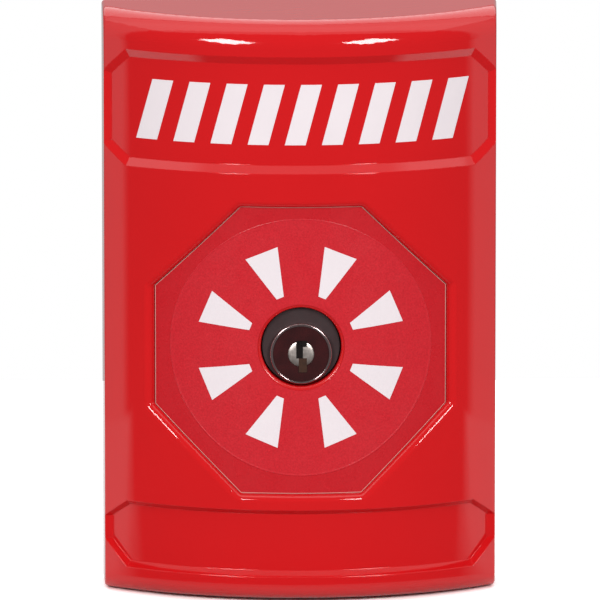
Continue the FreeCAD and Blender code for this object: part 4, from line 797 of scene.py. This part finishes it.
def away(azimuth_deg: float, elevation_deg: float) -> Vector:
    """Give the direction from the object to the camera or a lamp.

    With the azimuth a, measured from the front to the right, and the elevation e, it is
    (sin a cos e, -cos a cos e, sin e).

    Args:
        azimuth_deg: The azimuth in degrees.
        elevation_deg: The elevation in degrees.

    Returns:
        The direction, one long.
    """
    az, el = math.radians(azimuth_deg), math.radians(elevation_deg)
    return Vector((math.sin(az) * math.cos(el), -math.cos(az) * math.cos(el), math.sin(el)))


@dataclass
class PhotoCamera:
    """The camera at the photograph's viewing angle."""

    azimuth_deg: float = -1.0
    elevation_deg: float = 10.5
    distance_m: float = 2.4
    span_mm: float = 126.0
    aim_mm: Size = (0.0, -13.0, 0.1)
    sensor_mm: float = 36.0

    def build(self) -> bpy.types.Object:
        """Create the camera and make it the scene's own.

        Returns:
            The camera.
        """
        camera = bpy.data.cameras.new("camera")
        camera.sensor_width = self.sensor_mm
        camera.lens = self.sensor_mm * self.distance_m / (self.span_mm * MM)
        camera.clip_end = 20.0
        piece = place("camera", camera)
        back = away(self.azimuth_deg, self.elevation_deg)
        piece.location = Vector(self.aim_mm) * MM + back * self.distance_m
        piece.rotation_euler = back.to_track_quat("Z", "Y").to_euler()
        bpy.context.scene.camera = piece
        return piece


@dataclass(frozen=True)
class Softbox:
    """One soft studio lamp, placed round the object and rolled about its own line of sight."""

    name: str
    azimuth_deg: float
    elevation_deg: float
    distance_m: float
    size_m: tuple[float, float]
    radiance: float
    roll_deg: float = 0.0

    def build(self) -> bpy.types.Object:
        """Create the lamp, facing the object.

        Returns:
            The lamp.
        """
        lamp = bpy.data.lights.new(self.name, "AREA")
        lamp.shape = "RECTANGLE"
        lamp.size, lamp.size_y = self.size_m
        lamp.energy = self.radiance * math.pi * self.size_m[0] * self.size_m[1]
        piece = place(self.name, lamp)
        back = away(self.azimuth_deg, self.elevation_deg)
        piece.location = back * self.distance_m
        turn = back.to_track_quat("Z", "Y") @ Quaternion((0.0, 0.0, 1.0), math.radians(self.roll_deg))
        piece.rotation_euler = turn.to_euler()
        return piece


@dataclass
class Studio:
    """The white surroundings, the soft lamps and the pale floor.

    The camera sees plain white. Matte surfaces are lit softly from above and in front, between the two
    ambient levels. Glossy ones mirror a room that is dim in front, bright at the sides and middling
    behind, with each ramp given by the Y of the mirrored direction.
    """

    lamps: tuple[Softbox, ...] = (
        Softbox("lamp_front_left", -28, 22, 0.9, (0.2, 0.28), 20.5, 50),
        Softbox("lamp_front_right", 28, 22, 0.9, (0.2, 0.28), 20.5, -50),
        Softbox("lamp_top", 0, 84, 0.8, (1.6, 0.75), 0.7),
        Softbox("lamp_top_back", 180, 48, 0.8, (1.4, 0.6), 1.35))
    ambient: tuple[float, float] = (0.06, 0.34)
    ambient_from: Size = (0.0, -0.5, 0.87)
    front_level: float = 0.15
    side_level: float = 0.85
    back_level: float = 0.5
    side_ramp: tuple[float, float] = (-0.36, -0.3)
    back_ramp: tuple[float, float] = (0.0, 0.2)
    floor_m: float = 0.44
    floor_seen: float = 1.6
    # Floor tones for rays other than the camera's: painted shade in front, and in the mirror image a painted
    # dim room with a painted pool of light near the object.
    floor_front_painted_shade: str = "cacaca"
    floor_behind: str = "f4f4f4"
    mirrored_painted_dim: str = "626262"
    mirrored_painted_light_pool: str = "eeeeee"
    near_m: tuple[float, float] = (0.068, 0.08)
    behind_m: tuple[float, float] = (-0.006, 0.006)
    behind_slant: float = 0.42

    def build(self) -> list[bpy.types.Object]:
        """Build the world, the lamps and the floor.

        Returns:
            The lamps and the floor.
        """
        bpy.context.scene.view_settings.view_transform = "Standard"
        self.sky()
        lamps = [lamp.build() for lamp in self.lamps]
        half, low = self.floor_m / 2, CAD_BOUNDS[0][2]
        mesh = bpy.data.meshes.new("floor")
        mesh.from_pydata([(-half, -half, low), (half, -half, low), (half, half, low), (-half, half, low)], [],
                         [(0, 1, 2, 3)])
        mesh.materials.append(self.paper())
        floor = place("floor", mesh)
        return lamps + [floor]

    def sky(self) -> None:
        """Make the world, with a level of its own for the camera's, mirrored and other rays."""
        world = bpy.data.worlds.new("world")
        world.cycles.sampling_method = "NONE"
        bpy.context.scene.world = world
        world.use_nodes = True
        tree = world.node_tree
        tree.nodes.clear()
        rays = add_node(tree, "ShaderNodeLightPath").outputs
        way = add_node(tree, "ShaderNodeTexCoord").outputs["Generated"]
        y = add_node(tree, "ShaderNodeSeparateXYZ", None, {"Vector": way}).outputs["Y"]
        beside = add_node(tree, "ShaderNodeMapRange",
                          {"From Min": self.side_ramp[0], "From Max": self.side_ramp[1],
                           "To Min": self.front_level, "To Max": self.side_level}, {"Value": y})
        behind = add_node(tree, "ShaderNodeMapRange",
                          {"From Min": self.back_ramp[0], "From Max": self.back_ramp[1]}, {"Value": y})
        room = add_node(tree, "ShaderNodeMix", {"data_type": "FLOAT", 3: self.back_level},
                        {0: behind.outputs["Result"], 2: beside.outputs["Result"]})
        raised = add_node(tree, "ShaderNodeVectorMath", {"operation": "DOT_PRODUCT", 1: self.ambient_from},
                          {0: way})
        soft = add_node(tree, "ShaderNodeMapRange",
                        {"From Min": -1.0, "To Min": self.ambient[0], "To Max": self.ambient[1]},
                        {"Value": raised.outputs["Value"]})
        unseen = add_node(tree, "ShaderNodeMix", {"data_type": "FLOAT"},
                          {0: rays["Is Glossy Ray"], 2: soft.outputs["Result"], 3: room.outputs[0]})
        level = add_node(tree, "ShaderNodeMix", {"data_type": "FLOAT", 3: 1.0},
                         {0: rays["Is Camera Ray"], 2: unseen.outputs[0]})
        glow = add_node(tree, "ShaderNodeBackground", {"Color": (1, 1, 1, 1)}, {"Strength": level.outputs[0]})
        add_node(tree, "ShaderNodeOutputWorld", None, {"Surface": glow.outputs[0]})

    def paper(self) -> bpy.types.Material:
        """Make the floor's matte paper, white to the camera.

        Where y + slant |x| is positive, the floor lies behind or beside the object and is pale for all
        rays. In front of that it is a little darker, painted shade that holds back the light bounced up
        onto the object, and much darker where it is mirrored, a painted dim room, except for the near
        zone: a painted pool of light in the mirror image, a ring about the bow's axis under the object's
        front.

        Returns:
            The floor's material.
        """
        material = bpy.data.materials.new("paper_sweep_white_painted_light")
        material.use_nodes = True
        tree = material.node_tree
        tree.nodes.clear()
        rays = add_node(tree, "ShaderNodeLightPath").outputs
        coords = add_node(tree, "ShaderNodeTexCoord").outputs["Object"]
        split = add_node(tree, "ShaderNodeSeparateXYZ", None, {"Vector": coords}).outputs
        aside = add_node(tree, "ShaderNodeMath", {"operation": "ABSOLUTE"}, {0: split["X"]})
        reach = add_node(tree, "ShaderNodeMath", {"operation": "MULTIPLY_ADD", 1: self.behind_slant},
                         {0: aside.outputs[0], 2: split["Y"]})
        behind = add_node(tree, "ShaderNodeMapRange",
                          {"From Min": self.behind_m[0], "From Max": self.behind_m[1]},
                          {"Value": reach.outputs[0]})
        axis = (0.0, BOW.axis_mm() * MM, CAD_BOUNDS[0][2])
        apart = add_node(tree, "ShaderNodeVectorMath", {"operation": "DISTANCE", 1: axis}, {0: coords})
        near = add_node(tree, "ShaderNodeMapRange",
                        {"From Min": self.near_m[0], "From Max": self.near_m[1],
                         "To Min": 1.0, "To Max": 0.0}, {"Value": apart.outputs["Value"]})
        far, close = linear(self.mirrored_painted_dim), linear(self.mirrored_painted_light_pool)
        mirrored = add_node(tree, "ShaderNodeMix", {"data_type": "RGBA", 6: far, 7: close},
                            {0: near.outputs["Result"]})
        front = add_node(tree, "ShaderNodeMix", {"data_type": "RGBA", 6: linear(self.floor_front_painted_shade)},
                         {0: rays["Is Glossy Ray"], 7: mirrored.outputs[2]})
        tone = add_node(tree, "ShaderNodeMix", {"data_type": "RGBA", 7: linear(self.floor_behind)},
                        {0: behind.outputs["Result"], 6: front.outputs[2]})
        white = (self.floor_seen, self.floor_seen, self.floor_seen, 1.0)
        seen = add_node(tree, "ShaderNodeMix", {"data_type": "RGBA", 7: white},
                        {0: rays["Is Camera Ray"], 6: tone.outputs[2]})
        shader = add_node(tree, "ShaderNodeBsdfDiffuse", None, {"Color": seen.outputs[2]})
        add_node(tree, "ShaderNodeOutputMaterial", None, {"Surface": shader.outputs[0]})
        return material


def main() -> None:
    """Build the scene, one sub-assembly after another, and report each piece."""
    logging.basicConfig(level=logging.INFO, format="%(message)s")
    wardrobe = Wardrobe()
    LOG.info("nodes dressed: %d", wardrobe.dress_nodes())
    for maker in (Springs(), FilmField(), LockHead(), Printing()):
        for piece in maker.build(wardrobe):
            LOG.info("%s: %d faces", piece.name, len(piece.data.polygons))
    for piece in Studio().build() + [PhotoCamera().build()]:
        LOG.info("%s placed", piece.name)


if __name__ == "__main__":
    main()
